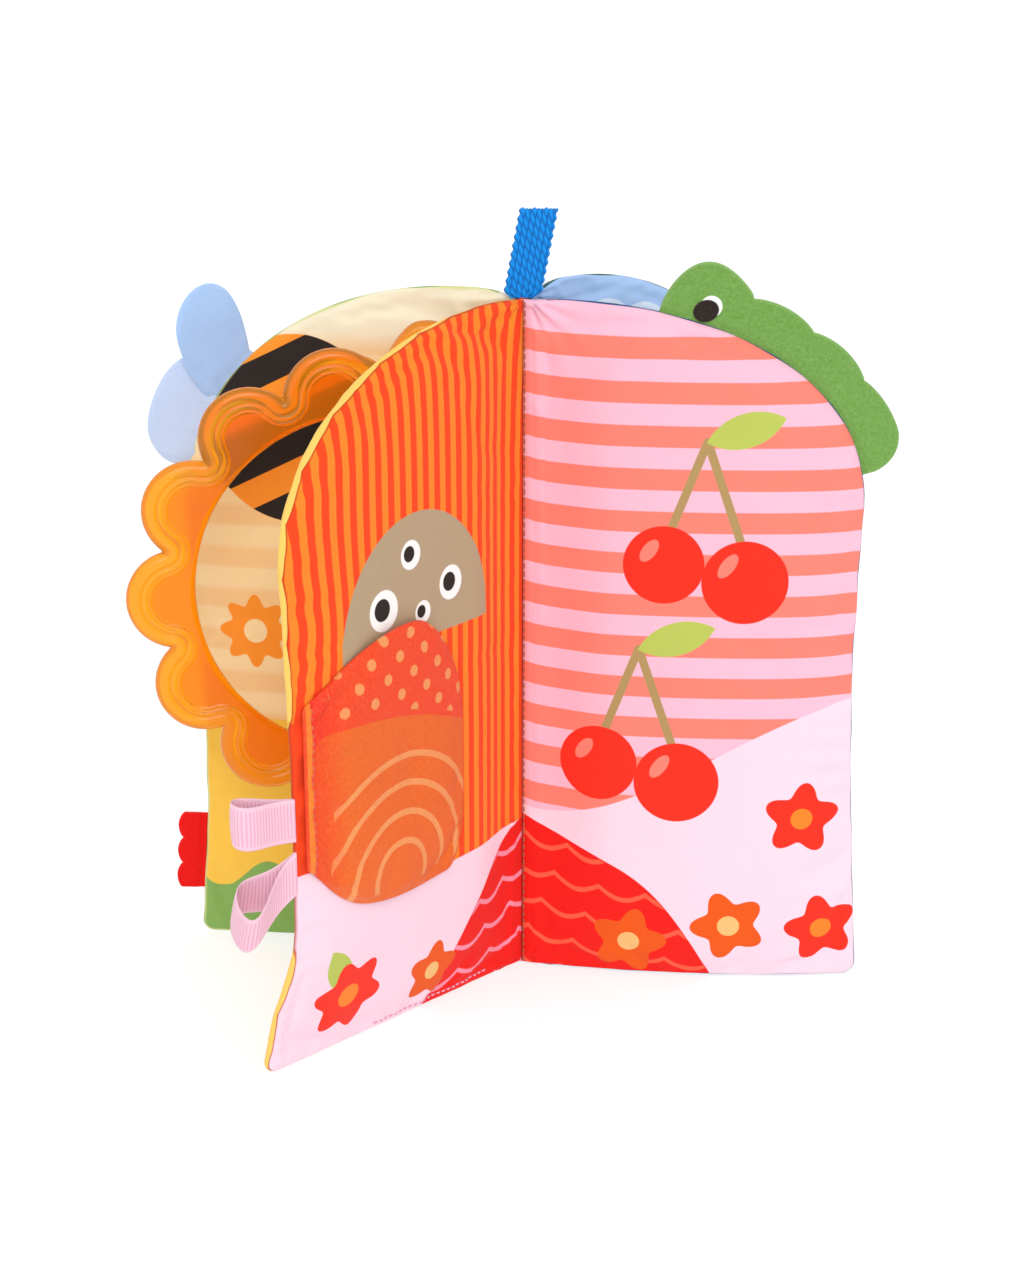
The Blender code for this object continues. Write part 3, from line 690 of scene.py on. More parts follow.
def leaf_places(leaf):
    """The leaf's cut as a grid of reach and height, finer at the edges, with a rounded foot corner."""
    columns, rows = clustered(leaf_columns), clustered(leaf_rows)
    full = np.repeat(columns * leaf.width, leaf_rows).reshape(leaf_columns, leaf_rows)
    over = np.maximum(0, full - (leaf.width - corner_radius)) / corner_radius
    foot = corner_radius * (1 - np.sqrt(np.maximum(0, 1 - over ** 2)))
    height = foot + rows[None, :] * (leaf.top(full) - foot)
    reach = full - leaf.narrowing(height) * (full / leaf.width) ** 2
    sway = edge_sway * (ripple(height, 2 + leaf.side_x, edge_sway_wavelength) - 1)
    reach = reach + sway * (full / leaf.width) ** 6 * smooth_step(height / corner_radius / 2)
    return reach, height


def corner_tucks(x, y, top, seed):
    """Folds that fan out from the spine's upper and lower end, where the cloth is sewn in tight."""
    total = 0
    for number, rise in enumerate((top - y, y)):
        apart = np.hypot(x, rise)
        fan = np.cos(np.arctan2(rise, x) * tucks_per_turn + seed + number)
        fan = fan * np.exp(-apart / tuck_reach) * smooth_step(apart / tuck_start)
        total = total + fan * (1 - 0.5 * number)
    return tuck_depth * total


def pinches(along):
    """Where the edge's seam pulls the cloth in: 1 at uneven steps along it, and falling off fast to 0."""
    turn = (along + pinch_drift * np.sin(along * pinch_drift_turns)) / pinch_wavelength
    return 1 - np.abs(np.sin(np.pi * turn)) ** pinch_exponent


def pleat(x, y, start, end, half_width):
    """A ridge along a line, which falls off to both sides and dies out towards its end."""
    way = np.subtract(end, start)
    share = ((x - start[0]) * way[0] + (y - start[1]) * way[1]) / (way @ way)
    held = np.clip(share, 0, 1)
    apart = np.hypot(x - start[0] - held * way[0], y - start[1] - held * way[1])
    return np.exp(-(apart / half_width) ** 2) * (1 - smooth_step(share)) * smooth_step(2 + share * 8)


def leaf_folds(leaf, seed, edge_wave, pucker):
    """A leaf's folds: a wavy edge, pinches and puckers along the seam, gathers at the spine and pleats."""
    def folds(x, y, distance, along, sign):
        free = smooth_step(distance / pucker_start)
        wave = edge_wave * ripple(along, seed, edge_wavelength) * np.exp(-distance / edge_wave_reach)
        wave = wave * smooth_step(x / spine_quiet_reach)
        tucks = pucker * ripple(along, seed + 1 + sign, pucker_wavelength)
        tucks = tucks * uneven(along, seed, pucker_wavelength * 5)
        tucks = tucks * np.exp(-distance / pucker_reach) * free
        level, upright = leaf.gathers
        pulls = level * ripple(y + x * gather_slant, seed + 3 + sign, gather_wavelength)
        pulls = pulls + upright * ripple(x + y * upright_slant, seed + 7 + sign, upright_wavelength)
        pulls = pulls * np.exp(-x / gather_reach) * smooth_step(x / gather_start) * free
        fans = corner_tucks(x, y, spine_height, seed + sign) * free
        nips = -leaf.pinch * pinches(along) * np.exp(-distance / pinch_reach)
        nips = nips * smooth_step(x / spine_quiet_reach)
        rises = sum(height * MM * pleat(x, y, (x0 * MM, y0 * MM), (x1 * MM, y1 * MM), width * MM)
                    for x0, y0, x1, y1, height, width in leaf.pleats) if sign > 0 else 0
        return wave + sign * (tucks + pulls + fans + (nips + rises) * free)
    return folds


def print_places(leaf, reach, height):
    """Where the print lies, in millimetres, on cloth drawn in to the spine's upper end and along its seam."""
    inward = np.exp(-np.maximum(0, reach) / print_pull_reach)
    pull = leaf.print_pull * inward * np.exp(-np.maximum(0, spine_height - height) / print_pull_reach)
    rise = leaf.print_rise * np.exp(-np.maximum(0, reach) / print_rise_reach)
    return (reach + pull) / MM, (height + pull * 0.5 - rise) / MM


def make_leaf(leaf, material, seed, slot, edge_wave=0.15 * MM, pucker=0.13 * MM):
    """A padded leaf: two sewn panels whose swelling comes from simulation, with folds along its seams."""
    reach, height = leaf_places(leaf)
    folds = leaf_folds(leaf, seed, edge_wave, pucker)
    cap = spine_cap + (leaf_cap - spine_cap) * smooth_step((reach - spine_cap_start) / spine_cap_run)
    made = stuff(reach, height, seam_half, cap, folds, leaf_spacing)
    near, far = (leaf.place(reach, height, made.offsets[sign]) for sign in (1, -1))
    made.piece = grid_body(leaf.name + "_padding", near, far, material, print_places(leaf, reach, height),
                           rim=made.distance / MM, seam=made.along / MM)
    nodes = [leaf.name + part for part in ("_front", "_back", "_crinkle_film", "_wadding")]
    settle(made.piece, leaf.name, slot, *nodes)
    return made


def make_gutter(leaf, made, sign, crease, material):
    """The cloth that runs from one side of a leaf over its root into the spine's seam.

    It starts in the crease, rolls over the root and dives under the leaf's own cloth, so that the
    leaf can turn. Returns the grid of its outer surface.
    """
    middle = leaf_rows // 2
    columns = np.nonzero((made.x[:, middle] > gutter_root) & (made.x[:, middle] < gutter_reach))[0]
    x, y = made.x[columns], made.y[columns]
    lift = gutter_lift * (1 - 1.9 * smooth_step((x - gutter_root) / (gutter_reach - gutter_root)))
    offset = made.offsets[sign][columns] + sign * lift
    top = leaf.place(x, y, offset)
    below = leaf.place(x, y, offset - sign * gutter_thickness)
    start = np.array([*crease, 0]) + upward * y[0][:, None]
    heading = leaf.heading(0 * y[0], y[0])
    back_way = np.stack([-np.cos(heading), -np.sin(heading), 0 * heading], -1)
    knee = top[0] + back_way * gutter_knee
    axis = leaf.place(0 * y[0], y[0], 0 * y[0])
    bridge, bridge_below, shares = [], [], np.linspace(0, 1, gutter_steps, endpoint=False)
    for share in shares:
        here = start * (1 - share) ** 2 + knee * 2 * share * (1 - share) + top[0] * share ** 2
        inward = unit(axis - here)
        bridge.append(here)
        bridge_below.append(here + inward * gutter_thickness)
    near = np.concatenate([np.array(bridge), top])
    far = np.concatenate([np.array(bridge_below), below])
    steps = np.linalg.norm(np.diff(np.concatenate([bridge, top[:1]]), axis=0), axis=-1)
    u = np.concatenate([x[:1] - np.cumsum(steps[::-1], axis=0)[::-1], x])
    v = np.broadcast_to(y[0], u.shape)
    side = "front" if sign > 0 else "back"
    name = leaf.name + "_" + side + "_gutter"
    piece = grid_body(name, near, far, material, print_places(leaf, u, v), rim=sign * gutter_rim, seam=v / MM)
    end = leaf.place(np.array(gutter_reach * 0.6), np.array(spine_height / 2), np.array(0.0))
    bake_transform(piece)
    return near


def make_spine(material):
    """The seam allowance of both sheets, one on the other, with a rounded top."""
    turns = np.linspace(0, 2 * np.pi, 28, endpoint=False)
    x = spine_half_width * np.sign(np.cos(turns)) * np.abs(np.cos(turns)) ** 0.5
    y = spine_half_depth * np.sign(np.sin(turns)) * np.abs(np.sin(turns)) ** 0.5
    heights = np.concatenate([[0], np.linspace(0.3 * MM, spine_top - 0.6 * MM, 160), [spine_top]])
    narrow = np.ones(len(heights))
    narrow[0] = narrow[-1] = 0.7
    points, faces = [], []
    for z, share in zip(heights, narrow):
        sway = spine_sway * ripple(z, 4, 0.023)
        points += [(a * share + sway, b * share, z) for a, b in zip(x, y)]
    count = len(turns)
    for level in range(len(heights) - 1):
        for i in range(count):
            j = (i + 1) % count
            here, above = level * count, (level + 1) * count
            faces.append((here + i, here + j, above + j, above + i))
    faces += [tuple(range(count)), tuple(range((len(heights) - 1) * count, len(heights) * count))]
    points = np.array(points)
    piece = mesh_object("spine_seam", points, faces, material, cloth=points / MM)
    settle(piece, "spine", "spine_cloth", "spine_core")


def make_stitches(name, path, normals, material, stitch=2.6 * MM, gap=0.4 * MM, thick=0.34 * MM, lift=0.0):
    """A row of sewn stitches: short rounded threads that dip into the cloth at both ends."""
    path, normals = np.asarray(path, float), unit(normals)
    steps = np.linalg.norm(np.diff(path, axis=0), axis=1)
    along = np.concatenate([[0], np.cumsum(steps)])
    count = int(along[-1] / (stitch + gap))
    rings, sides = 7, 8
    points, faces, cloth = [], [], []
    for number in range(count):
        first = number * (stitch + gap) + gap / 2
        spots = first + stitch * np.linspace(0, 1, rings)
        centre = follow(spots, along, path)
        out = unit(follow(spots, along, normals))
        ahead = unit(centre[-1] - centre[0])
        across = unit(np.cross(ahead, out))
        arch = np.sin(np.pi * np.linspace(0, 1, rings))
        base = len(points)
        for ring in range(rings):
            radius = thick * (0.45 + 0.55 * arch[ring] ** 0.5)
            middle = centre[ring] + out[ring] * (lift + thick * 0.9 * (arch[ring] - 0.6))
            for side in range(sides):
                turn = 2 * np.pi * side / sides
                points.append(middle + radius * (out[ring] * np.cos(turn) + across[ring] * np.sin(turn)))
                cloth.append((spots[ring] / MM, turn, 1))
        for ring in range(rings - 1):
            for side in range(sides):
                after = (side + 1) % sides
                a, b = base + ring * sides, base + (ring + 1) * sides
                faces.append((a + side, a + after, b + after, b + side))
        last = base + (rings - 1) * sides
        faces += [tuple(range(base, base + sides)), tuple(range(last, last + sides))]
    return mesh_object(name, points, faces, material, cloth=cloth)


# The teether ring


def lobe_turn(angle):
    """The step between two lobes, where they start, and the turn from the nearest lobe's middle."""
    pitch = math.radians(ring_lobe_pitch_deg)
    phase = math.radians(ring_lobe_phase_deg) + pitch / 2
    return pitch, phase, (angle - phase + pitch / 2) % pitch - pitch / 2


def ring_depth(radius, angle):
    """How far a point of the ring is inside its scalloped edge."""
    pitch, phase, turn = lobe_turn(angle)
    cusp = ring_outline(np.array(phase + pitch / 2))
    cusp_x, cusp_y = cusp * math.cos(pitch / 2), cusp * math.sin(pitch / 2)
    cusp_turn = math.atan2(cusp_y, cusp_x - ring_lobe_centre_radius)
    best = np.full(np.shape(radius), far_away)
    for lobe in (-1, 0, 1):
        x = radius * np.cos(turn - lobe * pitch)
        y = radius * np.sin(turn - lobe * pitch)
        to_centre = np.hypot(x - ring_lobe_centre_radius, y)
        faces_edge = np.abs(np.arctan2(y, x - ring_lobe_centre_radius)) <= cusp_turn
        within = to_centre <= ring_lobe_radius + weld_distance
        best = np.minimum(best, np.where(faces_edge & within, ring_lobe_radius - to_centre, far_away))
        best = np.minimum(best, np.hypot(x - cusp_x, np.abs(y) - cusp_y))
    return best


def ring_outline(angle):
    """Outer radius of the ring at an angle: lobes of one radius, set round a circle."""
    turn = lobe_turn(angle)[2]
    sideways = ring_lobe_centre_radius * np.sin(turn)
    return ring_lobe_centre_radius * np.cos(turn) + np.sqrt(ring_lobe_radius ** 2 - sideways ** 2)


def ring_half(depth, inner):
    """Half thickness of the ring from the depth inside its outer edge and the distance from its hole."""
    level = smooth_step(depth / ring_edge_radius)
    half = round_edge(depth, ring_edge_radius) + (ring_half_thickness - ring_edge_radius) * level
    half = half - ring_web_drop * smooth_step((depth - ring_groove_depths[1]) / ring_web_slope)
    for place in ring_groove_depths:
        half = half - ring_groove_depth * np.exp(-((depth - place) / ring_groove_width) ** 2)
    past_edge = smooth_step(inner / ring_hole_edge_radius - 0.4)
    return np.minimum(half, round_edge(inner, ring_hole_edge_radius) + ring_hole_clearance * past_edge)


def make_ring(material):
    """The silicone ring with its double groove, and the thin tongues that the tabs hold."""
    end = math.radians(ring_end_deg)
    angles = np.linspace(-end, end, ring_columns)
    outer = ring_outline(angles)
    table = np.linspace(0, 1, 220)
    radii = outer[:, None] + (ring_hole_radius - outer)[:, None] * table
    depths = ring_depth(radii, angles[:, None] + 0 * radii)
    depths = np.maximum.accumulate(depths, axis=1)
    levels = np.concatenate([ring_edge_radius * (1 - np.cos(np.linspace(0, np.pi / 2, 7))),
                             np.linspace(ring_edge_radius, ring_level_depth, 34)[1:]])
    near, far, cloth = [], [], []
    origin = np.array([-tab_line_x, 0, 0])
    direction, side = ways(math.radians(ring_heading))
    inner_shares = clustered(14, 0.5)[1:]
    sections = []
    for number, angle in enumerate(angles):
        kept = np.interp(levels, depths[number], radii[number])
        kept = np.concatenate([kept, kept[-1] + (ring_hole_radius - kept[-1]) * inner_shares])
        deep = np.concatenate([levels, np.interp(kept[len(levels):][::-1], radii[number][::-1],
                                                 depths[number][::-1])[::-1]])
        half = ring_half(deep, kept - ring_hole_radius)
        half[0] = half[-1] = 0
        last = smooth_step((math.degrees(angle) - ring_last_lobe_deg) / ring_last_lobe_span_deg)
        reach = ring_centre_reach + kept * math.cos(angle)
        height = ring_centre_height + kept * math.sin(angle) + ring_last_lobe_rise * last
        sections.append((reach, height, half, deep))
    rows = len(sections[0][0])
    spread = np.linspace(0, 1, rows)
    for sign, first in ((-1, sections[0]), (1, sections[-1])):
        added = []
        for share in np.linspace(0, 1, 26)[1:]:
            along = min(1, share * 1.5)
            root = tongue_root_reach + (tongue_reach - tongue_root_reach) * max(0, (share - 2 / 3) * 3)
            top = ring_centre_height + sign * tongue_outer_height
            low = ring_centre_height + sign * tongue_inner_height
            reach = first[0] * (1 - along) + root * along
            height = first[1] * (1 - along) + (top + (low - top) * spread) * along
            rounding = np.sqrt(np.sin(np.pi * spread)) * 2
            flat = np.minimum(tongue_half_thickness, tongue_half_thickness * rounding)
            mixed = smooth_step(along * 1.3)
            half = first[2] * (1 - mixed) + flat * mixed
            half[0] = half[-1] = 0
            added.append((reach, height, half, first[3]))
        sections = added[::-1] + sections if sign < 0 else sections + added
    for reach, height, half, deep in sections:
        middle = origin + direction * reach[:, None] + upward * height[:, None]
        near.append(middle + side * half[:, None])
        far.append(middle - side * half[:, None])
        cloth.append((reach / MM, height / MM, deep / MM))
    cloth = np.array(cloth)
    places = (cloth[:, 0], cloth[:, 1])
    piece = grid_body("ring_silicone", near, far, material, places, rim=cloth[:, 2] + 0.01)
    settle(piece, "ring", "orange_silicone", "teether_ring")


def make_ring_tab(name, sign, material):
    """A cloth tab whose two plies are sewn to both sides of one tongue of the ring."""
    direction, side = ways(math.radians(ring_heading))
    origin = np.array([-tab_line_x, 0, 0])
    edges = sorted(ring_centre_height + sign * (size + margin) for size, margin in
                   ((tongue_inner_height, -tab_margin), (tongue_outer_height, tab_margin)))
    gap = tongue_half_thickness + tab_ply_gap
    outer_half = gap + tab_ply_thickness
    turns = np.linspace(0, np.pi, 15)
    arm = np.linspace(tab_reach, tongue_reach * 0.8, 18)
    outer = [(reach, outer_half) for reach in arm]
    outer += [(tongue_reach * 0.8 * (1 - math.sin(t)), outer_half * math.cos(t)) for t in turns]
    outer += [(reach, -outer_half) for reach in arm[::-1]]
    inner = [(reach, gap) for reach in arm]
    inner += [(tongue_reach * (0.9 - 0.1 * math.sin(t)), gap * math.cos(t)) for t in turns]
    inner += [(reach, -gap) for reach in arm[::-1]]
    rows = clustered(20, 0.5)
    heights = edges[0] + (edges[1] - edges[0]) * rows
    thin = 1 - 0.5 * (1 - np.minimum(1, np.minimum(rows, 1 - rows) * 12)) ** 2
    near, far = [], []
    for (reach, across), (reach_in, across_in) in zip(outer, inner):
        mid = np.array([(reach + reach_in) / 2, (across + across_in) / 2])
        for grid, place in ((near, (reach, across)), (far, (reach_in, across_in))):
            where = mid + (np.array(place) - mid) * thin[:, None]
            level = direction * where[:, :1] + side * where[:, 1:]
            grid.append(origin + level + upward * heights[:, None])
    along = np.arange(len(outer))[:, None] * 0.6
    piece = grid_body(name + "_cloth", near, far, material, (along, heights[None, :] / MM))
    settle(piece, "ring", "tab_cloth", name)
    flat = (2 * tab_reach + 2 * gap, edges[1] - edges[0])


# Strips: the webbing and the ribbons


def path_frame(path):
    """Length along a flat path, and the way across it at each point."""
    along = length_along(path)
    way = unit(np.gradient(path, along, axis=0))
    return along, np.column_stack([way[:, 1], -way[:, 0]])


def webbing_relief(along, across):
    """The chunky weave of the webbing: columns of slanted stitches, every other column half a step on."""
    column = across / webbing_column
    number = np.floor(column)
    inside = column - number - 0.5
    step = along / webbing_step + 0.5 * (number % 2) + 0.9 * inside
    bead = np.sqrt(0.5 + 0.5 * np.cos(2 * np.pi * step))
    rounding = np.sqrt(np.maximum(0, 1 - (1.95 * inside) ** 2))
    return rounding * (0.2 + 0.8 * bead)


def make_webbing(material):
    """The webbing loop, folded double and standing in the spine's seam, with its weave as real relief."""
    half_gap = layer_gap / 2
    core = webbing_thickness - webbing_relief_height
    ply = half_gap + core / 2
    straight = webbing_length - webbing_thickness - half_gap - ply
    turns = np.linspace(0, np.pi, 40)
    path = [(-webbing_root, -ply)]
    path += [(straight + webbing_fold * math.sin(t), -ply * math.cos(t)) for t in turns]
    path += [(-webbing_root, ply)]
    path = evenly(path, webbing_path_step, closed=False)
    along, normals = path_frame(path)
    rows = clustered(webbing_rows, 0.8)
    across = webbing_width * rows
    edge = np.minimum(across, webbing_width - across)
    inset = webbing_relief_height * 0.6
    relief = webbing_relief(along[:, None], across[None, :])
    foot = np.array([0, 0, spine_height + layer_gap + half_gap + webbing_thickness])
    half = round_edge(edge, core / 2)[None, :]
    near, far = [], []
    for sign, grid in ((1, near), (-1, far)):
        height = webbing_relief_height * relief * (1 if sign > 0 else webbing_inner_relief_share)
        rise = half + height * smooth_step(edge / inset)[None, :]
        out = path[:, :1] + sign * normals[:, :1] * rise
        side = path[:, 1:] + sign * normals[:, 1:] * rise
        lean = webbing_lean * out / webbing_length
        beat = np.cos(2 * np.pi * along / webbing_step)[:, None]
        outer = (2 * rows - 1)[None, :] ** 7 * webbing_bulge * beat
        taper = 1 - webbing_root_taper_share * smooth_step(-out / webbing_root)
        x = lean + ((across - webbing_width / 2)[None, :] + outer) * taper
        grid.append(np.stack([foot[0] + x, foot[1] + side, foot[2] + out], -1))
    # gap is 1 in the hollows of the weave, where the strip's material lays painted shade.
    piece = grid_body("webbing_weave", near[0], far[0], material, (along[:, None] / MM, across[None, :] / MM),
                      gap=1 - relief)
    settle(piece, "webbing", "webbing", "webbing_loop")


def make_ribbon(name, leaf, low, rise, body, material, bulge, twist_deg):
    """A ribbed ribbon loop whose two ends lie in the page's outer seam."""
    half_gap = layer_gap / 2
    radius = half_gap + ribbon_thickness
    foot, up = edge_line(leaf, low, low + ribbon_width, radius)
    out_way, side_way = ways(float(leaf.heading(leaf.width, low)) + math.radians(ribbon_turn_deg))
    ply = half_gap + ribbon_thickness / 2
    turns = np.linspace(0, np.pi, 120)
    path = [(-ribbon_root, -ply * 0.8)]
    path += [(ribbon_loop_length * math.sin(t),
              -ply * math.cos(t) - bulge * math.sin(2 * t) * math.sin(t)) for t in turns]
    path += [(-ribbon_root, ply * 0.8)]
    path = evenly(path, ribbon_rib / 8, closed=False)
    along, normals = path_frame(path)
    rows = clustered(25, 0.6)
    edge = np.minimum(rows, 1 - rows) * ribbon_width
    flat = smooth_step((edge - ribbon_selvedge) / (0.4 * MM))[None, :]
    rib = 0.5 - 0.5 * np.cos(2 * np.pi * along / ribbon_rib)
    half = round_edge(edge, ribbon_thickness * 0.36)[None, :] + ribbon_rib_height * flat * rib[:, None]
    curl = ribbon_curl * np.sin(np.pi * rows)[None, :] * np.sin(np.pi * along / along[-1])[:, None]
    near, far = [], []
    for sign, grid in ((1, near), (-1, far)):
        shift = curl + sign * half
        out = path[:, :1] + normals[:, :1] * shift
        side = path[:, 1:] + normals[:, 1:] * shift
        drop = rise * out / ribbon_loop_length
        twist = math.radians(twist_deg) * smooth_step(out / ribbon_loop_length)
        level = (rows - 0.5)[None, :] * ribbon_width
        side, level = (side * np.cos(twist) - level * np.sin(twist),
                       level * np.cos(twist) + side * np.sin(twist))
        grid.append(foot + up * (0.5 + level / ribbon_width)[..., None] + out_way * out[..., None]
                    + side_way * side[..., None] + upward * drop[..., None])
    cloth = (along[:, None] / MM, rows[None, :] * ribbon_width / MM)
    # gap is 1 in the grooves between the ribs, where the strip's material lays painted shade.
    piece = grid_body(name + "_ribs", near[0], far[0], material, cloth, gap=flat * (1 - rib)[:, None])
    settle(piece, body, "ribbon", name)


# The flap


def flap_edges(share):
    """Low and high edge of the flap at shares of its length from the seam: two rounded lobes."""
    full = flap_peak - flap_low
    rise = (flap_peak - flap_high) * np.sin(np.pi / 2 * np.minimum(2, share / flap_peak_share))
    high = flap_high + rise - full * flap_tip_drop_share * round_corner(share, flap_tip_round_share)
    flare = (flap_low - flap_seam_low) * np.tanh(share / flap_flare_share) ** flap_flare_exponent
    low = flap_seam_low + flare + full * flap_toe_rise_share * round_corner(share, flap_toe_round_share)
    return low, high


def flap_folds(x, y, distance, along, sign):
    """Soft upright folds, and a groove where the flap's root is stitched down."""
    turn = 2 * np.pi * (x + flap_fold_slant * (y - flap_low)) / flap_fold_width + flap_fold_start
    soft = flap_fold_depth * np.sin(turn) * smooth_step(distance / flap_fold_edge)
    groove = flap_groove_depth * np.exp(-((x - flap_stitch_run) / flap_groove_width) ** 2)
    groove = groove * smooth_step(distance / flap_groove_edge)
    apart = np.hypot(x - flap_dent[0], (y - flap_dent[1]) * 0.6) / flap_dent_reach
    groove = groove + flap_dent_depth * np.exp(-apart ** 2) * (sign > 0)
    tucks = flap_tuck_height * ripple(along, 9 + sign, flap_tuck_wavelength)
    tucks = tucks * np.exp(-distance / flap_tuck_reach) * smooth_step(distance / MM)
    return soft + sign * (tucks - groove)


def make_flap(leaf, page, material, thread):
    """The satin flap, which lies on the page's front and swells a little."""
    shares = clustered(78)
    low, high = flap_edges(shares)
    rows = clustered(84)
    x = np.repeat(shares * flap_length, len(rows)).reshape(len(shares), len(rows))
    y = low[:, None] + (high - low)[:, None] * rows[None, :]
    made = stuff(x, y, half=0.6 * MM, cap=2.6 * MM, folds=flap_folds, spacing=2.6 * MM,
                 pressure=1.5, growth=0.02)
    reach = leaf.width - leaf.draw_in - flap_line_inset
    root = swell_of_page(flap_line_inset + x) + layer_gap
    lift = x * math.tan(math.radians(flap_lift_deg)) + flap_bulge * np.sin(np.pi * x / flap_length) ** 2
    middle = root + flap_middle_half + lift
    page_top = page.offset(reach - x, y, 1)
    middle = np.maximum(middle, page_top - made.offsets[-1] + layer_gap)
    near, far = (leaf.place(reach - x, y, middle + made.offsets[sign]) for sign in (1, -1))
    made.piece = grid_body("flap_satin", near, far, material, (x / MM, y / MM), rim=made.distance / MM + 0.01)
    settle(made.piece, "flap", "flap_satin", "flap_outer", "flap_lining")
    column = int(np.argmin(np.abs(shares * flap_length - flap_stitch_run)))
    path = near[column][2:-2]
    heading = leaf.heading(reach, y[column][2:-2])
    out = np.stack([-np.sin(heading), np.cos(heading), 0 * heading], -1) * leaf.front
    stitches = make_stitches("flap_stitches", path, out, thread,
                             stitch=2.0 * MM, gap=0.8 * MM, thick=0.25 * MM)
    settle(stitches, "flap", "flap_lining")


def swell_of_page(distance):
    """Half the thickness that the page has in the CAD model at a distance from its seam."""
    turn = np.pi / 2 * np.clip(distance / edge_roll_width, 0, 1)
    return seam_half + (page_half_thickness - seam_half) * np.sin(turn)


# Wings and felt


def wing_frame(leaf, arch_share, base, tilt_deg):
    """Where a wing is sewn on: the middle of its root, the way out, along the root and across."""
    point, out = leaf.arch_point(arch_share)
    tangent = np.array([-out[1], out[0]])
    middle = point + out * (layer_gap + wing_seam_half)
    low, high = middle - tangent * base / 2, middle + tangent * base / 2
    foot = leaf.place(np.array(low[0]), np.array(low[1]), np.array(0.0))
    along = leaf.place(np.array(high[0]), np.array(high[1]), np.array(0.0)) - foot
    heading = float(leaf.heading(low[0], low[1]))
    up = unit(along)
    out_way = np.array([math.cos(heading) * out[0], math.sin(heading) * out[0], out[1]])
    out_way = unit(out_way - up * (out_way @ up))
    turn = math.radians(tilt_deg)
    out_way = out_way * math.cos(turn) + np.cross(up, out_way) * math.sin(turn)
    return foot + along / 2, out_way, up, np.cross(out_way, up)


def make_wing(name, leaf, arch_share, base, length, width, lean, tilt_deg, body, material, slot, seed, roots):
    """A thin petal sewn into the cover's arch. roots: how far its root runs on below and above."""
    middle, out_way, up, side = wing_frame(leaf, arch_share, base, tilt_deg)
    shares = clustered(46)
    first = -wing_root / length
    shares = first + (1 - first) * shares
    grown = np.maximum(0, shares)
    widening = (width - base) * np.sin(np.pi / 2 * np.minimum(1, grown / (1 - wing_tip_share)))
    tip = np.maximum(0, 1 - (1 - grown) / wing_tip_share) ** wing_tip_exponent
    half_width = np.maximum((base + widening) / 2 * np.sqrt(np.maximum(0, 1 - tip)), wing_seam_half)
    rows = 2 * clustered(46) - 1
    x = np.repeat(shares * length, len(rows)).reshape(len(shares), len(rows))
    near_root = (1 - smooth_step(grown / wing_root_share))[:, None]
    run_on = np.where(rows < 0, *roots)[None, :] * near_root
    y = (half_width[:, None] + run_on) * rows[None, :]
    x = x - roots[0] * wing_root_bend_share * np.maximum(0, -rows)[None, :] ** 2 * near_root

    def folds(x, y, distance, along, sign):
        pull = wing_pull_height * ripple(y + 0.3 * x, seed, wing_pull_reach)
        pull = pull * np.exp(-np.maximum(0, x) / wing_pull_reach)
        tucks = wing_tuck_height * ripple(along, seed + sign, wing_tuck_wavelength)
        tucks = tucks * np.exp(-distance / wing_tuck_reach)
        wave = wing_wave_height * np.sin(2 * np.pi * (x + 0.6 * y) / wing_wavelength + seed)
        wave = wave * smooth_step(distance / wing_tuck_reach)
        return sign * (tucks + pull) * smooth_step(distance / MM) + wave

    made = stuff(x, y, half=0.5 * MM, cap=0.9 * MM, folds=folds, spacing=1.8 * MM, pressure=1.5, growth=0.02)
    near, far = [], []
    for sign, grid in ((1, near), (-1, far)):
        across = y + lean * np.maximum(0, x / length)
        flat = middle + out_way * x[..., None] + up * across[..., None]
        grid.append(flat + side * made.offsets[sign][..., None])
    rim = made.distance / MM + 0.01
    piece = grid_body(name + "_cloth", near[0], far[0], material, (x / MM, y / MM), rim=rim)
    settle(piece, body, slot, name)


def felt_offsets(distance, base, half):
    """Half thickness of a felt piece: a slightly rounded cut edge, thinner where it goes into the seam."""
    edge = round_edge(distance, felt_edge_radius) / felt_edge_radius
    seam = 0.42 + 0.58 * smooth_step(base / felt_seam_run)
    return half * (0.55 + 0.45 * edge) * seam * (distance > 0)


def fuzz(points):
    """Small uneven lumps of felt, as lengths along a direction chosen by the caller."""
    lumps = [noise.noise(Vector(point) / felt_fuzz_size) for point in points.reshape(-1, 3)]
    return np.array(lumps).reshape(points.shape[:-1]) * felt_fuzz


def crest_height(share):
    """Height of the felt above the arch: a head, then scallops that meet in notches, the last one round."""
    first, last = crest_notch_shares[1], len(crest_notch_shares) - 2
    number = np.clip(np.searchsorted(crest_notch_shares, share, "right") - 1, 0, last)
    start, end = (np.take(crest_notch_shares, number + step) for step in (0, 1))
    inside = (share - start) / (end - start)
    bump = np.sin(np.pi * np.where(number == last, np.minimum(inside, 0.5), inside))
    low = np.where(number == 0, crest_notch_height * inside, crest_notch_height)
    high = np.where(number == 0, crest_head_height, crest_back_height)
    power = np.where(share < first, crest_head_exponent, crest_scallop_exponent)
    corner = round_corner(inside, crest_end_share) * (number == last)
    return (low + (high - low) * np.maximum(0, bump) ** power) * (1 - corner)


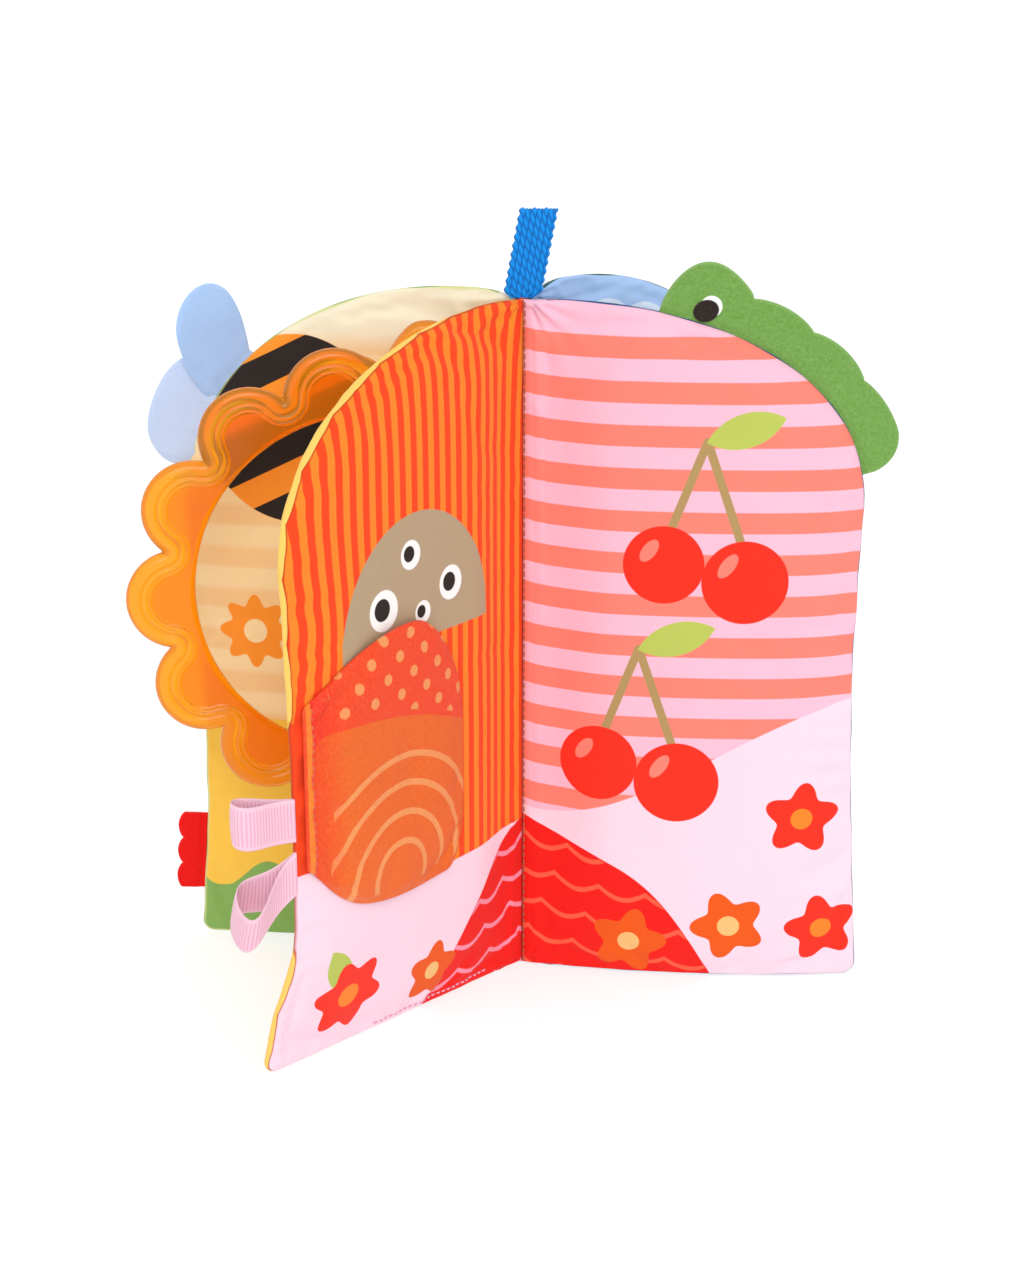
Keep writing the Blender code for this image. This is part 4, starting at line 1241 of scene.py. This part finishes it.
def make_crest(leaf, material):
    """The green felt piece, sewn into the right page's arch."""
    first = leaf.arch_share(float(leaf.top(np.array(crest_start))))
    last = leaf.arch_share(crest_low)
    shares = np.linspace(0, 1, crest_columns)
    heights = crest_height(shares)
    rows = clustered(22, 0.4)
    near, far, cloth = [], [], []
    x, y, base = [], [], []
    for share, height in zip(shares, heights):
        point, out = leaf.arch_point(first + (last - first) * share)
        rise = -crest_root + (layer_gap + height + crest_root) * rows
        x.append(point[0] + out[0] * rise)
        y.append(point[1] + out[1] * rise)
        base.append(rise)
    x, y, base = np.array(x), np.array(y), np.array(base)
    distance = rim_distance(x, y)
    half = felt_offsets(distance, base, crest_thickness * 0.45)
    for sign, grid in ((1, near), (-1, far)):
        flat = leaf.place(x, y, sign * half)
        grid.append(leaf.place(x, y, sign * (half + fuzz(flat) * (distance > 0))))
    piece = grid_body("crest_felt", near[0], far[0], material, (x / MM, y / MM), rim=distance / MM + 0.01)
    settle(piece, leaf.name, "green_felt", "felt_crest")


def make_patch(name, leaf, centre, half_sizes, turn_deg, offset, thickness, material, body):
    """A small flat oval, such as an eye's patch, on a leaf's front."""
    line = np.sin(np.linspace(-0.5, 0.5, 27) * np.pi)
    across, up = np.meshgrid(line, line, indexing="ij")
    a = half_sizes[0] * across * np.sqrt(1 - up ** 2 / 2)
    b = half_sizes[1] * up * np.sqrt(1 - across ** 2 / 2)
    turn = math.radians(turn_deg)
    x = centre[0] + a * math.cos(turn) - b * math.sin(turn)
    y = centre[1] + a * math.sin(turn) + b * math.cos(turn)
    half = round_edge(rim_distance(x, y), thickness / 2)
    near, far = (leaf.place(x, y, offset + sign * half) for sign in (1, -1))
    piece = grid_body(name, near, far, material, (x / MM, y / MM), rim=9.0)
    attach(piece, body)


def make_tail(leaf, material):
    """The red felt tail: three small scallops on a straight root along the cover's outer edge."""
    radius = tail_thickness / 2
    foot, up = edge_line(leaf, tail_low, tail_high, radius)
    out_way, side = ways(float(leaf.heading(leaf.width, tail_low)))
    shares = np.linspace(0, 1, 91)
    bump = np.sin(np.pi * np.clip(shares * tail_scallops % 1, 0, 1)) ** tail_scallop_exponent
    bump[-1] = 0
    reach = tail_notch_reach + (tail_reach - tail_notch_reach) * bump
    rows = clustered(18, 0.4)
    x = -tail_root + (reach[:, None] + tail_root) * rows[None, :]
    y = shares[:, None] * (tail_high - tail_low) + 0 * x
    distance = rim_distance(x, y)
    half = felt_offsets(distance, x + 0.5 * MM, tail_thickness * 0.42)
    near, far = [], []
    for sign, grid in ((1, near), (-1, far)):
        flat = foot + up * shares[:, None, None] + out_way * x[..., None] + side * sign * half[..., None]
        bumps = fuzz(flat) * (distance > 0)
        grid.append(flat + side * sign * bumps[..., None])
    piece = grid_body("tail_felt", near[0], far[0], material, (x / MM, y / MM), rim=distance / MM + 0.01)
    settle(piece, "tail", "red_felt", "felt_tail")


# Prints: numbers worked out by a material's nodes, and colours laid over each other


class Ink:
    """A number in a material's nodes, which adds, multiplies and compares like a number."""

    def __init__(self, tree, socket):
        self.tree = tree
        self.socket = socket

    def math(self, operation, *others, clamp=False):
        node = self.tree.nodes.new("ShaderNodeMath")
        node.operation = operation
        node.use_clamp = clamp
        for slot, value in zip(node.inputs, (self,) + others):
            if isinstance(value, Ink):
                self.tree.links.new(value.socket, slot)
            else:
                slot.default_value = value
        return Ink(self.tree, node.outputs[0])

    def __add__(self, other):
        return self.math("ADD", other)

    def __sub__(self, other):
        return self.math("SUBTRACT", other)

    def __mul__(self, other):
        return self.math("MULTIPLY", other)

    def __truediv__(self, other):
        return self.math("DIVIDE", other)

    def __rsub__(self, other):
        return self * -1 + other

    __radd__ = __add__
    __rmul__ = __mul__

    def least(self, other):
        return self.math("MINIMUM", other)

    def most(self, other):
        return self.math("MAXIMUM", other)

    def wave(self):
        return self.math("SINE")

    def size(self):
        return self.math("ABSOLUTE")

    def clip(self, scale=1.0):
        """The value times a scale, held between 0 and 1."""
        return self.math("MULTIPLY", scale, clamp=True)

    def inside(self, soft=0.3):
        """1 where a distance is negative, 0 where it is positive, over a soft edge in millimetres."""
        return (self * (-1 / soft)).math("ADD", 0.5, clamp=True)


def length(x, y):
    return (x * x + y * y).math("SQRT")


class Print:
    """A material for cloth. u and z are millimetres along and up the cloth, rim those in from its edge."""

    def __init__(self, name, ground):
        self.material = bpy.data.materials.new(name)
        self.material.use_nodes = True
        self.tree = self.material.node_tree
        self.shader = self.tree.nodes["Principled BSDF"]
        self.color = ground
        parts = self.tree.nodes.new("ShaderNodeSeparateXYZ")
        self.tree.links.new(self.attribute("cloth", "Vector"), parts.inputs[0])
        self.u = Ink(self.tree, parts.outputs[0])
        self.z = Ink(self.tree, parts.outputs[1])
        self.rim = Ink(self.tree, parts.outputs[2])

    def attribute(self, name, output):
        node = self.tree.nodes.new("ShaderNodeAttribute")
        node.attribute_name = name
        return node.outputs[output]

    def number(self, name):
        """A value that the mesh keeps for each of its points."""
        return Ink(self.tree, self.attribute(name, "Fac"))

    def texture(self, kind, scale, detail=2, stretch=(1, 1, 1)):
        """A noise or cell pattern in cloth millimetres, times scale."""
        mapping = self.tree.nodes.new("ShaderNodeMapping")
        mapping.inputs["Scale"].default_value = [part * scale for part in stretch]
        self.tree.links.new(self.attribute("cloth", "Vector"), mapping.inputs[0])
        node = self.tree.nodes.new("ShaderNodeTex" + kind)
        if kind == "Noise":
            node.inputs["Detail"].default_value = detail
        node.inputs["Scale"].default_value = 1
        self.tree.links.new(mapping.outputs[0], node.inputs["Vector"])
        return Ink(self.tree, node.outputs[0])

    def mix(self, first, second, share, blend="MIX"):
        node = self.tree.nodes.new("ShaderNodeMix")
        node.data_type = "RGBA"
        node.blend_type = blend
        for slot, value in zip((node.inputs[0], node.inputs[6], node.inputs[7]), (share, first, second)):
            if isinstance(value, Ink):
                self.tree.links.new(value.socket, slot)
            elif isinstance(value, tuple):
                slot.default_value = (*value, 1)
            else:
                slot.default_value = value
        return Ink(self.tree, node.outputs[2])

    def lay(self, color, distance, soft=0.3):
        """Lays a colour over the print where a distance is negative."""
        self.color = self.mix(self.color, color, distance.inside(soft))

    def disc(self, u, z, radius):
        return length(self.u - u, self.z - z) - radius

    def oval(self, u, z, half_u, half_z, turn_deg=0):
        x, y = self.turned(u, z, turn_deg)
        return (length(x / half_u, y / half_z) - 1) * min(half_u, half_z)

    def turned(self, u, z, turn_deg):
        turn = math.radians(turn_deg)
        x, y = self.u - u, self.z - z
        return x * math.cos(turn) + y * math.sin(turn), y * math.cos(turn) - x * math.sin(turn)

    def bar(self, start, end, half):
        """Distance to a round-ended line between two places."""
        du, dz = end[0] - start[0], end[1] - start[1]
        x, y = self.u - start[0], self.z - start[1]
        share = (x * du + y * dz).math("DIVIDE", du * du + dz * dz, clamp=True)
        return length(x - share * du, y - share * dz) - half

    def blade(self, u, z, half_length, half_width, turn_deg):
        """A pointed leaf: where two large discs overlap."""
        x, y = self.turned(u, z, turn_deg)
        radius = (half_length ** 2 + half_width ** 2) / (2 * half_width)
        return length(x, y.size() + (radius - half_width)) - radius

    def petals(self, u, z, radius, count, depth, turn_deg=0):
        """A flower outline whose radius goes in and out count times."""
        x, y = self.turned(u, z, turn_deg)
        angle = y.math("ARCTAN2", x)
        return length(x, y) - radius - (angle * count).math("COSINE") * depth

    def dots(self, step, radius):
        """Distance to dots in staggered rows."""
        rows = [[(place / step + start).math("FRACT") * step - step / 2 for place in (self.u, self.z)]
                for start in (0, 0.5)]
        return (length(*rows[0]) - radius).least(length(*rows[1]) - radius)

    def stripes(self, place, period, share, start=0):
        """Distance-like value of bands that repeat along a place, negative inside a band."""
        turn = ((place - start) / period).math("FRACT") * period
        half = period * share / 2
        return (turn - half).size() - half

    def finish(self, roughness=0.75, sheen=0.05, weave=0.62, depth=0.05, shade=0.06, pattern="plain",
               shine=0.2):
        """Adds the weave, a soft unevenness of tone and the sheen, and returns the material."""
        tone = self.texture("Noise", 0.05, 3) * (2 * shade) + (1 - shade)
        color = self.mix(self.color, (0, 0, 0), 1 - tone)
        self.tree.links.new(color.socket, self.shader.inputs["Base Color"])
        self.shader.inputs["Sheen Weight"].default_value = sheen
        self.shader.inputs["Sheen Roughness"].default_value = 0.5
        self.shader.inputs["Specular IOR Level"].default_value = shine
        grain = self.texture("Noise", 2.2, 2)
        turn = 2 * math.pi / weave if weave else 0
        if pattern == "plain":
            relief = (self.u * turn).wave() * (self.z * turn).wave() * 0.5 + grain
        elif pattern == "twill":
            relief = ((self.u + self.z) * turn).wave() * 0.5 + grain * 0.6
        else:
            relief = grain + self.texture("Noise", 0.8, 4)
        rough = grain * 0.12 + (roughness - 0.06)
        self.tree.links.new(rough.socket, self.shader.inputs["Roughness"])
        bump = self.tree.nodes.new("ShaderNodeBump")
        bump.inputs["Distance"].default_value = depth * MM
        self.tree.links.new(relief.socket, bump.inputs["Height"])
        self.tree.links.new(bump.outputs[0], self.shader.inputs["Normal"])
        return self.material


# Colours, as light that the cloth gives back


def shade(red, green, blue):
    """A colour seen on a screen, from 0 to 255, as the light that cloth gives back in the studio."""
    parts = [((part / 255 + 0.055) / 1.055) ** 2.4 if part > 10 else part / 255 / 12.92
             for part in (red, green, blue)]
    return tuple(part * cloth_brightness for part in parts)


coral, pink, pale_pink = shade(253, 134, 117), shade(250, 193, 214), shade(255, 219, 234)
red, deep_red, orange = shade(250, 46, 24), shade(243, 22, 12), shade(255, 135, 36)
leaf_green, tan, taupe = shade(189, 203, 92), shade(181, 150, 96), shade(184, 160, 129)
stripe_red, dark_orange, flap_orange = shade(250, 70, 20), shade(238, 90, 14), shade(244, 106, 16)
cream, wheat, yellow = shade(252, 224, 172), shade(243, 194, 122), shade(253, 202, 76)
black, white, amber = shade(38, 30, 26), shade(255, 253, 250), shade(253, 152, 42)
sky, pale_sky, navy = shade(171, 202, 246), shade(222, 236, 255), shade(36, 74, 130)
grass, dark_green, light_grass = shade(135, 177, 92), shade(30, 88, 50), shade(218, 220, 150)
light_line = shade(250, 160, 92)
satin_speckle = 1.1


def cloth_edge(paint, back, seam, wander):
    """Turns the print to the back cloth's colour outside the seam, which wanders in and out a little."""
    along = paint.number("seam")
    line = (along * 0.21).wave() * wander + seam
    paint.color = paint.mix(back, paint.color, (line - paint.rim).inside(0.25))


def back_dots(paint, color):
    """Dots on a leaf's far side, clear of its edge."""
    paint.lay(color, paint.dots(24, 3).most(paint.rim + 9))


def rolled_edge(paint, back, shadow):
    """The back cloth rolled over the edge between the pinches, below the ribbons and above the flap."""
    along = paint.number("seam")
    drift = (along * (pinch_drift_turns * MM)).wave() * (pinch_drift / MM)
    turn = (drift + along) * (math.pi * MM / pinch_wavelength)
    full = turn.wave().size().math("POWER", 0.8) * roll_width + roll_least
    ends = sum((start - along).inside(5) * (along - end).inside(fade) for start, end, fade in rolls)
    line = full * ends - 0.3
    paint.lay(shadow, paint.rim - line - 0.35, 0.5)
    paint.lay(back, paint.rim - line, 0.25)


def flower(paint, place, radius, count, depth, turn_deg, color, heart, heart_radius):
    paint.lay(color, paint.petals(*place, radius, count, depth, turn_deg))
    paint.lay(heart, paint.disc(*place, heart_radius))


def scallops(paint, slope, color, start):
    """Rows of scalloped lines inside a hill."""
    u, z = paint.u, paint.z
    for level in range(5):
        arch = (u * (math.pi / scallop_width) + start + level * 0.9).wave().size() * scallop_depth
        line = (z - 52 + level * scallop_step + u * 0.14 + arch).size() - scallop_line_half
        paint.lay(color, line.most(slope + 0.6), 0.4)


def right_print():
    paint = Print("right_print", pale_pink)
    u, z = paint.u, paint.z
    hill = z - 86 + (u * 0.0242).math("COSINE") * 24
    bands = paint.stripes(z, 15.1, 0.503, 200.7 - 15.1 * 20).most(z - 243)
    paint.lay(pink, hill * -1, 0.4)
    paint.lay(coral, bands.most(hill * -1), 0.4)
    # cherries
    for u0, z0 in ((62, 203), (40, 128)):
        stems = [paint.bar(end, (u0, z0), 1.5) for end in ((u0 - 12, z0 - 32), (u0 + 13, z0 - 38))]
        paint.lay(tan, stems[0].least(stems[1]))
        paint.lay(leaf_green, paint.blade(u0 + 13, z0 + 4, 14, 6, 18))
        paint.lay(red, paint.disc(u0 - 14, z0 - 44, 14).least(paint.disc(u0 + 14, z0 - 50, 15)))
        glints = (paint.oval(u0 - 19, z0 - 39, 2.4, 4.6, -35), paint.oval(u0 + 8, z0 - 44, 2.4, 5, -35))
        paint.lay(coral, glints[0].least(glints[1]))
    # a hill with wavy lines
    slope = z - 58 + u * u * 0.0125 + (u * 0.09).wave() * 3
    paint.lay(deep_red, slope, 0.4)
    scallops(paint, slope, shade(255, 96, 66), 0.4)
    # flowers
    for place, turn, color, heart in (((99, 64), 12, red, orange), ((74, 22), 40, dark_orange, wheat),
                                      ((108, 20), 30, red, orange), ((38, 14), 5, dark_orange, wheat)):
        flower(paint, place, 11.5, 5, 2.4, turn, color, heart, 4)
    # The navy back cloth shows along the seam; drawn this wide it is partly painted shade, standing for the
    # shadow in the gap where the felt crest is sewn in.
    cloth_edge(paint, navy, 0.36, 0.14)
    back_dots(paint, shade(110, 152, 212))
    return paint.finish()


def left_print():
    paint = Print("left_print", stripe_red)
    u, z = paint.u, paint.z
    sway = (z * 0.085 + 1).wave() * ((u - 74) * 0.03).clip() * 1.3
    paint.lay(orange, paint.stripes(u + sway, 5.9, 0.5), 0.35)
    # a mushroom
    paint.lay(shade(214, 197, 168), paint.oval(62, 122, 13, 36))
    paint.lay(taupe, paint.oval(62, 146, 38, 42).most(144 - z))
    for place in ((45, 160, 6), (66, 174, 5), (80, 158, 7), (60, 153, 4)):
        paint.lay(white, paint.disc(*place))
        paint.lay(black, paint.disc(place[0] + 0.8, place[1] + 0.4, place[2] * 0.55))
    # the ground
    past = (u - 52).most(0)
    paint.lay(pale_pink, z - 58 - past * past * 0.0061, 0.4)
    paint.lay(stripe_red, (113 - u).most(76 - z).most(z - 129), 0.5)
    slope = z - 58 + u * 0.25 + u * u * 0.018
    paint.lay(deep_red, slope, 0.4)
    scallops(paint, slope, shade(250, 150, 172), 0.4)
    paint.lay(leaf_green, paint.blade(99, 34, 12, 5, 60))
    flower(paint, (92, 22), 13, 6, 2.2, 10, red, orange, 4.5)
    flower(paint, (50, 16), 10, 5, 2, 25, dark_orange, wheat, 3.4)
    rolled_edge(paint, shade(255, 208, 104), shade(190, 60, 14))
    back_dots(paint, shade(255, 236, 186))
    return paint.finish()


def front_cover_print():
    paint = Print("front_cover_print", cream)
    u, z = paint.u, paint.z
    paint.lay(shade(248, 207, 148), paint.stripes(z, 16, 0.5, 4), 2.5)
    paint.lay(shade(246, 236, 208), 232 - z, 8)
    ball = paint.disc(80, 200, 34)
    x, _ = paint.turned(80, 200, 64)
    paint.lay(amber, ball)
    paint.lay(black, (x.size() - 9).least((x.size() - 24).size() - 5).most(ball))
    paint.lay(yellow, z - 84 + (u * 0.05).wave() * 6, 0.4)
    paint.lay(grass, z - 32 + ((u - 96) * 0.16).math("COSINE") * -6 + 6, 0.4)
    flower(paint, (98, 124), 12, 8, 2, 0, amber, cream, 4.5)
    paint.lay(light_grass, paint.rim.size() - 0.4 + (u * 0.13 + 2).wave() * 0.5, 1.0)
    cloth_edge(paint, grass, 0.0, 0.35)
    back_dots(paint, shade(176, 208, 128))
    return paint.finish()


def back_cover_print():
    paint = Print("back_cover_print", sky)
    for place in ((34, 231, 15), (52, 225, 18), (95, 190, 16), (75, 184, 13), (40, 120, 18), (62, 112, 14)):
        paint.lay(pale_sky, paint.disc(*place), 0.6)
    cloth_edge(paint, dark_green, 0.15, 0.3)
    back_dots(paint, shade(92, 150, 92))
    return paint.finish()


def flap_print():
    """Satin in two colours, with dots and arcs, and the fine speckle of its loose threads."""
    paint = Print("flap_print", flap_orange)
    u, z = paint.u, paint.z
    past = (u - 15).most(0)
    border = z - 124.5 + (u * -0.42).math("EXPONENT") * 16 + past * past * 0.0038
    paint.lay(stripe_red, border * -1)
    paint.lay(light_line, paint.dots(13, 1.9).most(border * -1 + 2).most(8 - u))
    for radius in (12, 22, 32, 42):
        arcs = (length(u - 38, z - 66) - radius).size() - 1.1
        paint.lay(light_line, arcs.most(border + 3).most(8 - u).most(62 - z))
    # Deeper red towards the flap's root: painted shade where the flap rises steeply from its seam.
    root = ((13 - u) * 0.08).clip(0.75)
    paint.color = paint.mix(paint.color, deep_red, root)
    paint.lay(stripe_red, u - 0.7, 0.4)
    paint.lay(orange, (u - 1.6).size() - 0.9)
    speckle = (paint.texture("Noise", 1.5, 1, (1, 0.45, 1)) - 0.5) * satin_speckle
    paint.color = paint.mix(paint.color, deep_red, speckle.clip())
    paint.color = paint.mix(paint.color, light_line, (speckle * -0.6).clip())
    return paint.finish(roughness=0.45, weave=0.5, depth=0.08, shade=0.05, pattern="twill", shine=0.3)


def brushed(name, color):
    """Thin brushed cloth with fine flecks."""
    paint = Print(name, color)
    flecks = (paint.texture("Noise", 1.1, 3) - 0.5).size() * 0.55
    paint.color = paint.mix(color, shade(255, 255, 255), flecks)
    return paint.finish(roughness=0.8, sheen=0.12, weave=0.4, depth=0.06, shade=0.03)


def felt(name, dark, light):
    paint = Print(name, dark)
    share = ((paint.texture("Noise", 0.9, 6) - 0.3) * 1.3).clip()
    paint.color = paint.mix(dark, light, share)
    # A lighter band along the felt's cut edge: painted highlight, where the edge catches the light.
    painted_edge_highlight = (1 - paint.rim.size() / 1.1).clip(0.8)
    paint.color = paint.mix(paint.color, light, painted_edge_highlight)
    return paint.finish(roughness=0.96, sheen=0.16, weave=0, depth=0.22, shade=0.04, pattern="felt")


def strip(name, color, dark, roughness, sheen, shine):
    """Ribbon or webbing, with painted shade between its ribs or stitches."""
    paint = Print(name, color)
    gap = paint.number("gap")
    # dark is laid where the gap value is high, in the hollows of the weave: painted shade.
    paint.color = paint.mix(color, dark, (gap * gap * 1.1).clip())
    return paint.finish(roughness, sheen, weave=0.34, depth=0.04, shade=0.05, shine=shine)


def thread(name, color):
    paint = Print(name, color)
    return paint.finish(roughness=0.6, sheen=0.3, weave=0.5, shade=0.1, pattern="twill")


def silicone():
    """Clear orange silicone with a soft gloss."""
    paint = Print("orange_silicone", (1.0, 0.42, 0.016))
    shader = paint.shader
    web = ((paint.rim.size() - 7) / 2.5).clip()
    paint.color = paint.mix(paint.color, (1.0, 0.29, 0.0), web)
    material = paint.finish(roughness=0.24, sheen=0, weave=0, depth=0.02, shade=0.03,
                            pattern="felt", shine=0.28)
    shader.inputs["Transmission Weight"].default_value = 0.72
    shader.inputs["IOR"].default_value = 1.41
    return material


# Stage


def set_camera():
    camera = bpy.data.cameras.new("camera")
    camera.sensor_fit = "VERTICAL"
    camera.sensor_height = sensor_height
    camera.lens = focal_pixels / frame_pixels_high * sensor_height
    eye = add_object("camera", camera)
    eye.location = (camera_aim_x, -camera_distance * math.cos(camera_pitch),
                    camera_aim_z + camera_distance * math.sin(camera_pitch))
    eye.rotation_euler = (math.pi / 2 - camera_pitch, 0, 0)
    bpy.context.scene.camera = eye


def set_stage():
    """A pale floor under an even white sky, with one broad soft lamp from above the front."""
    paint = bpy.data.materials.new("floor_paint")
    paint.use_nodes = True
    shader = paint.node_tree.nodes["Principled BSDF"]
    shader.inputs["Base Color"].default_value = (floor_brightness, floor_brightness, floor_brightness, 1)
    shader.inputs["Roughness"].default_value = 1
    shader.inputs["Specular IOR Level"].default_value = 0
    shader.inputs["Emission Color"].default_value = (1, 1, 1, 1)
    shader.inputs["Emission Strength"].default_value = floor_glow
    corners = [(x * floor_reach, y * floor_reach, floor_level)
               for x, y in ((-1, -1), (1, -1), (1, 1), (-1, 1))]
    mesh_object("floor", corners, [(0, 1, 2, 3)], paint)
    world = bpy.data.worlds.new("studio")
    world.use_nodes = True
    world.node_tree.nodes["Background"].inputs["Color"].default_value = (1, 1, 1, 1)
    world.node_tree.nodes["Background"].inputs["Strength"].default_value = sky_strength
    bpy.context.scene.world = world
    lamp = bpy.data.lights.new("lamp", "SUN")
    lamp.angle = math.radians(lamp_angle_deg)
    lamp.energy = lamp_strength
    add_object("lamp", lamp).rotation_euler = (-Vector(lamp_from)).to_track_quat("-Z", "Y").to_euler()
    bpy.context.scene.view_settings.view_transform = "Standard"


set_camera()
set_stage()

# The leaves, with the cloth that joins them at the spine
prints = {left_page: left_print(), right_page: right_print(),
          front_cover: front_cover_print(), back_cover: back_cover_print()}
slots = {left_page: "print_orange", right_page: "print_pink",
         front_cover: "print_cream", back_cover: "print_blue"}
made = {}
for seed, leaf in enumerate(prints, 1):
    made[leaf] = make_leaf(leaf, prints[leaf], seed, slots[leaf])
creases = {(left_page, 1): (0, -1), (right_page, 1): (0, -1),
           (front_cover, -1): (0, 1), (back_cover, -1): (0, 1),
           (left_page, -1): (-1, -0.3), (front_cover, 1): (-1, 0.3),
           (right_page, -1): (1, -0.3), (back_cover, 1): (1, 0.3)}
gutters = {}
for (leaf, side), (x, y) in creases.items():
    crease = (x * crease_half_width, y * crease_half_depth)
    gutters[leaf, side] = make_gutter(leaf, made[leaf], side, crease, prints[leaf])
make_spine(felt("spine_cloth", shade(214, 70, 40), shade(235, 100, 70)))

# Stitches down the crease, and along the left page's hem
crease_path = gutters[right_page, 1][gutter_steps // 4][1:-1]
crease_out = np.tile((0.15, -1, 0), (len(crease_path), 1))
crease_stitches = make_stitches("crease_stitches", crease_path, crease_out,
                                thread("crease_thread", shade(190, 100, 54)))
settle(crease_stitches, "spine", "spine_cloth")
hem_reach = np.linspace(*hem_stitch_reaches, 80)
hem_height = np.linspace(*hem_stitch_heights, len(hem_reach))
hem_path = left_page.place(hem_reach, hem_height, made[left_page].offset(hem_reach, hem_height, 1))
hem_heading = left_page.heading(hem_reach, hem_height)
hem_out = np.stack([-np.sin(hem_heading), np.cos(hem_heading), 0 * hem_heading - 0.6], -1)
hem_stitches = make_stitches("hem_stitches", hem_path, hem_out, thread("hem_thread", shade(250, 168, 200)),
                             stitch=1.9 * MM, gap=0.5 * MM, thick=0.42 * MM)
settle(hem_stitches, "left_page", "ribbon")

# The teether and its tabs
make_ring(silicone())
tab_paint = thread("tab_cloth", wheat)
make_ring_tab("ring_tab_lower", -1, tab_paint)
make_ring_tab("ring_tab_upper", 1, tab_paint)

# Pieces sewn into the seams
# Each strip's second colour is the painted shade in its hollows.
make_webbing(strip("webbing_weave", shade(0, 146, 238), shade(0, 74, 150), 0.6, 0.05, 0.2))
ribbon_paint = strip("ribbon_ribs", shade(252, 205, 222), shade(240, 172, 197), 0.5, 0.1, 0.3)
for index, (level, low, rise) in enumerate((("upper", upper_ribbon_low, upper_ribbon_rise),
                                            ("lower", lower_ribbon_low, lower_ribbon_rise))):
    make_ribbon("ribbon_loop_" + level, left_page, low, rise, "ribbon_" + level, ribbon_paint,
                ribbon_loop_bulges[index], ribbon_twists_deg[index])
make_flap(left_page, made[left_page], flap_print(), thread("flap_thread", shade(252, 120, 96)))
make_wing("wing_upper", front_cover, arch_share=0.58, base=19 * MM, length=29 * MM, width=28 * MM,
          lean=11 * MM, tilt_deg=12, body="upper_wing", material=brushed("wing_blue", shade(170, 206, 255)),
          slot="wing_blue", seed=6, roots=(4 * MM, 0))
make_wing("wing_lower", front_cover, arch_share=0.74, base=16 * MM, length=19 * MM, width=36 * MM,
          lean=2 * MM, tilt_deg=-9, body="lower_wing", slot="wing_pale_blue", seed=7,
          roots=(6.5 * MM, 3 * MM), material=brushed("wing_pale_blue", shade(196, 216, 250)))
make_crest(right_page, felt("green_felt", shade(106, 156, 66), shade(144, 186, 108)))
make_patch("eye_white", right_page, centre=(62.1 * MM, 248.7 * MM), half_sizes=(3.7 * MM, 3.7 * MM),
           turn_deg=0, offset=1.35 * MM, thickness=0.5 * MM,
           material=felt("eye_white", white, white), body="right_page")
make_patch("eye_black", right_page, centre=(60.3 * MM, 247.2 * MM), half_sizes=(4.4 * MM, 3.7 * MM),
           turn_deg=20, offset=1.75 * MM, thickness=0.5 * MM,
           material=felt("eye_black", black, shade(60, 50, 46)), body="right_page")
make_tail(front_cover, felt("red_felt", shade(234, 0, 2), shade(246, 24, 18)))
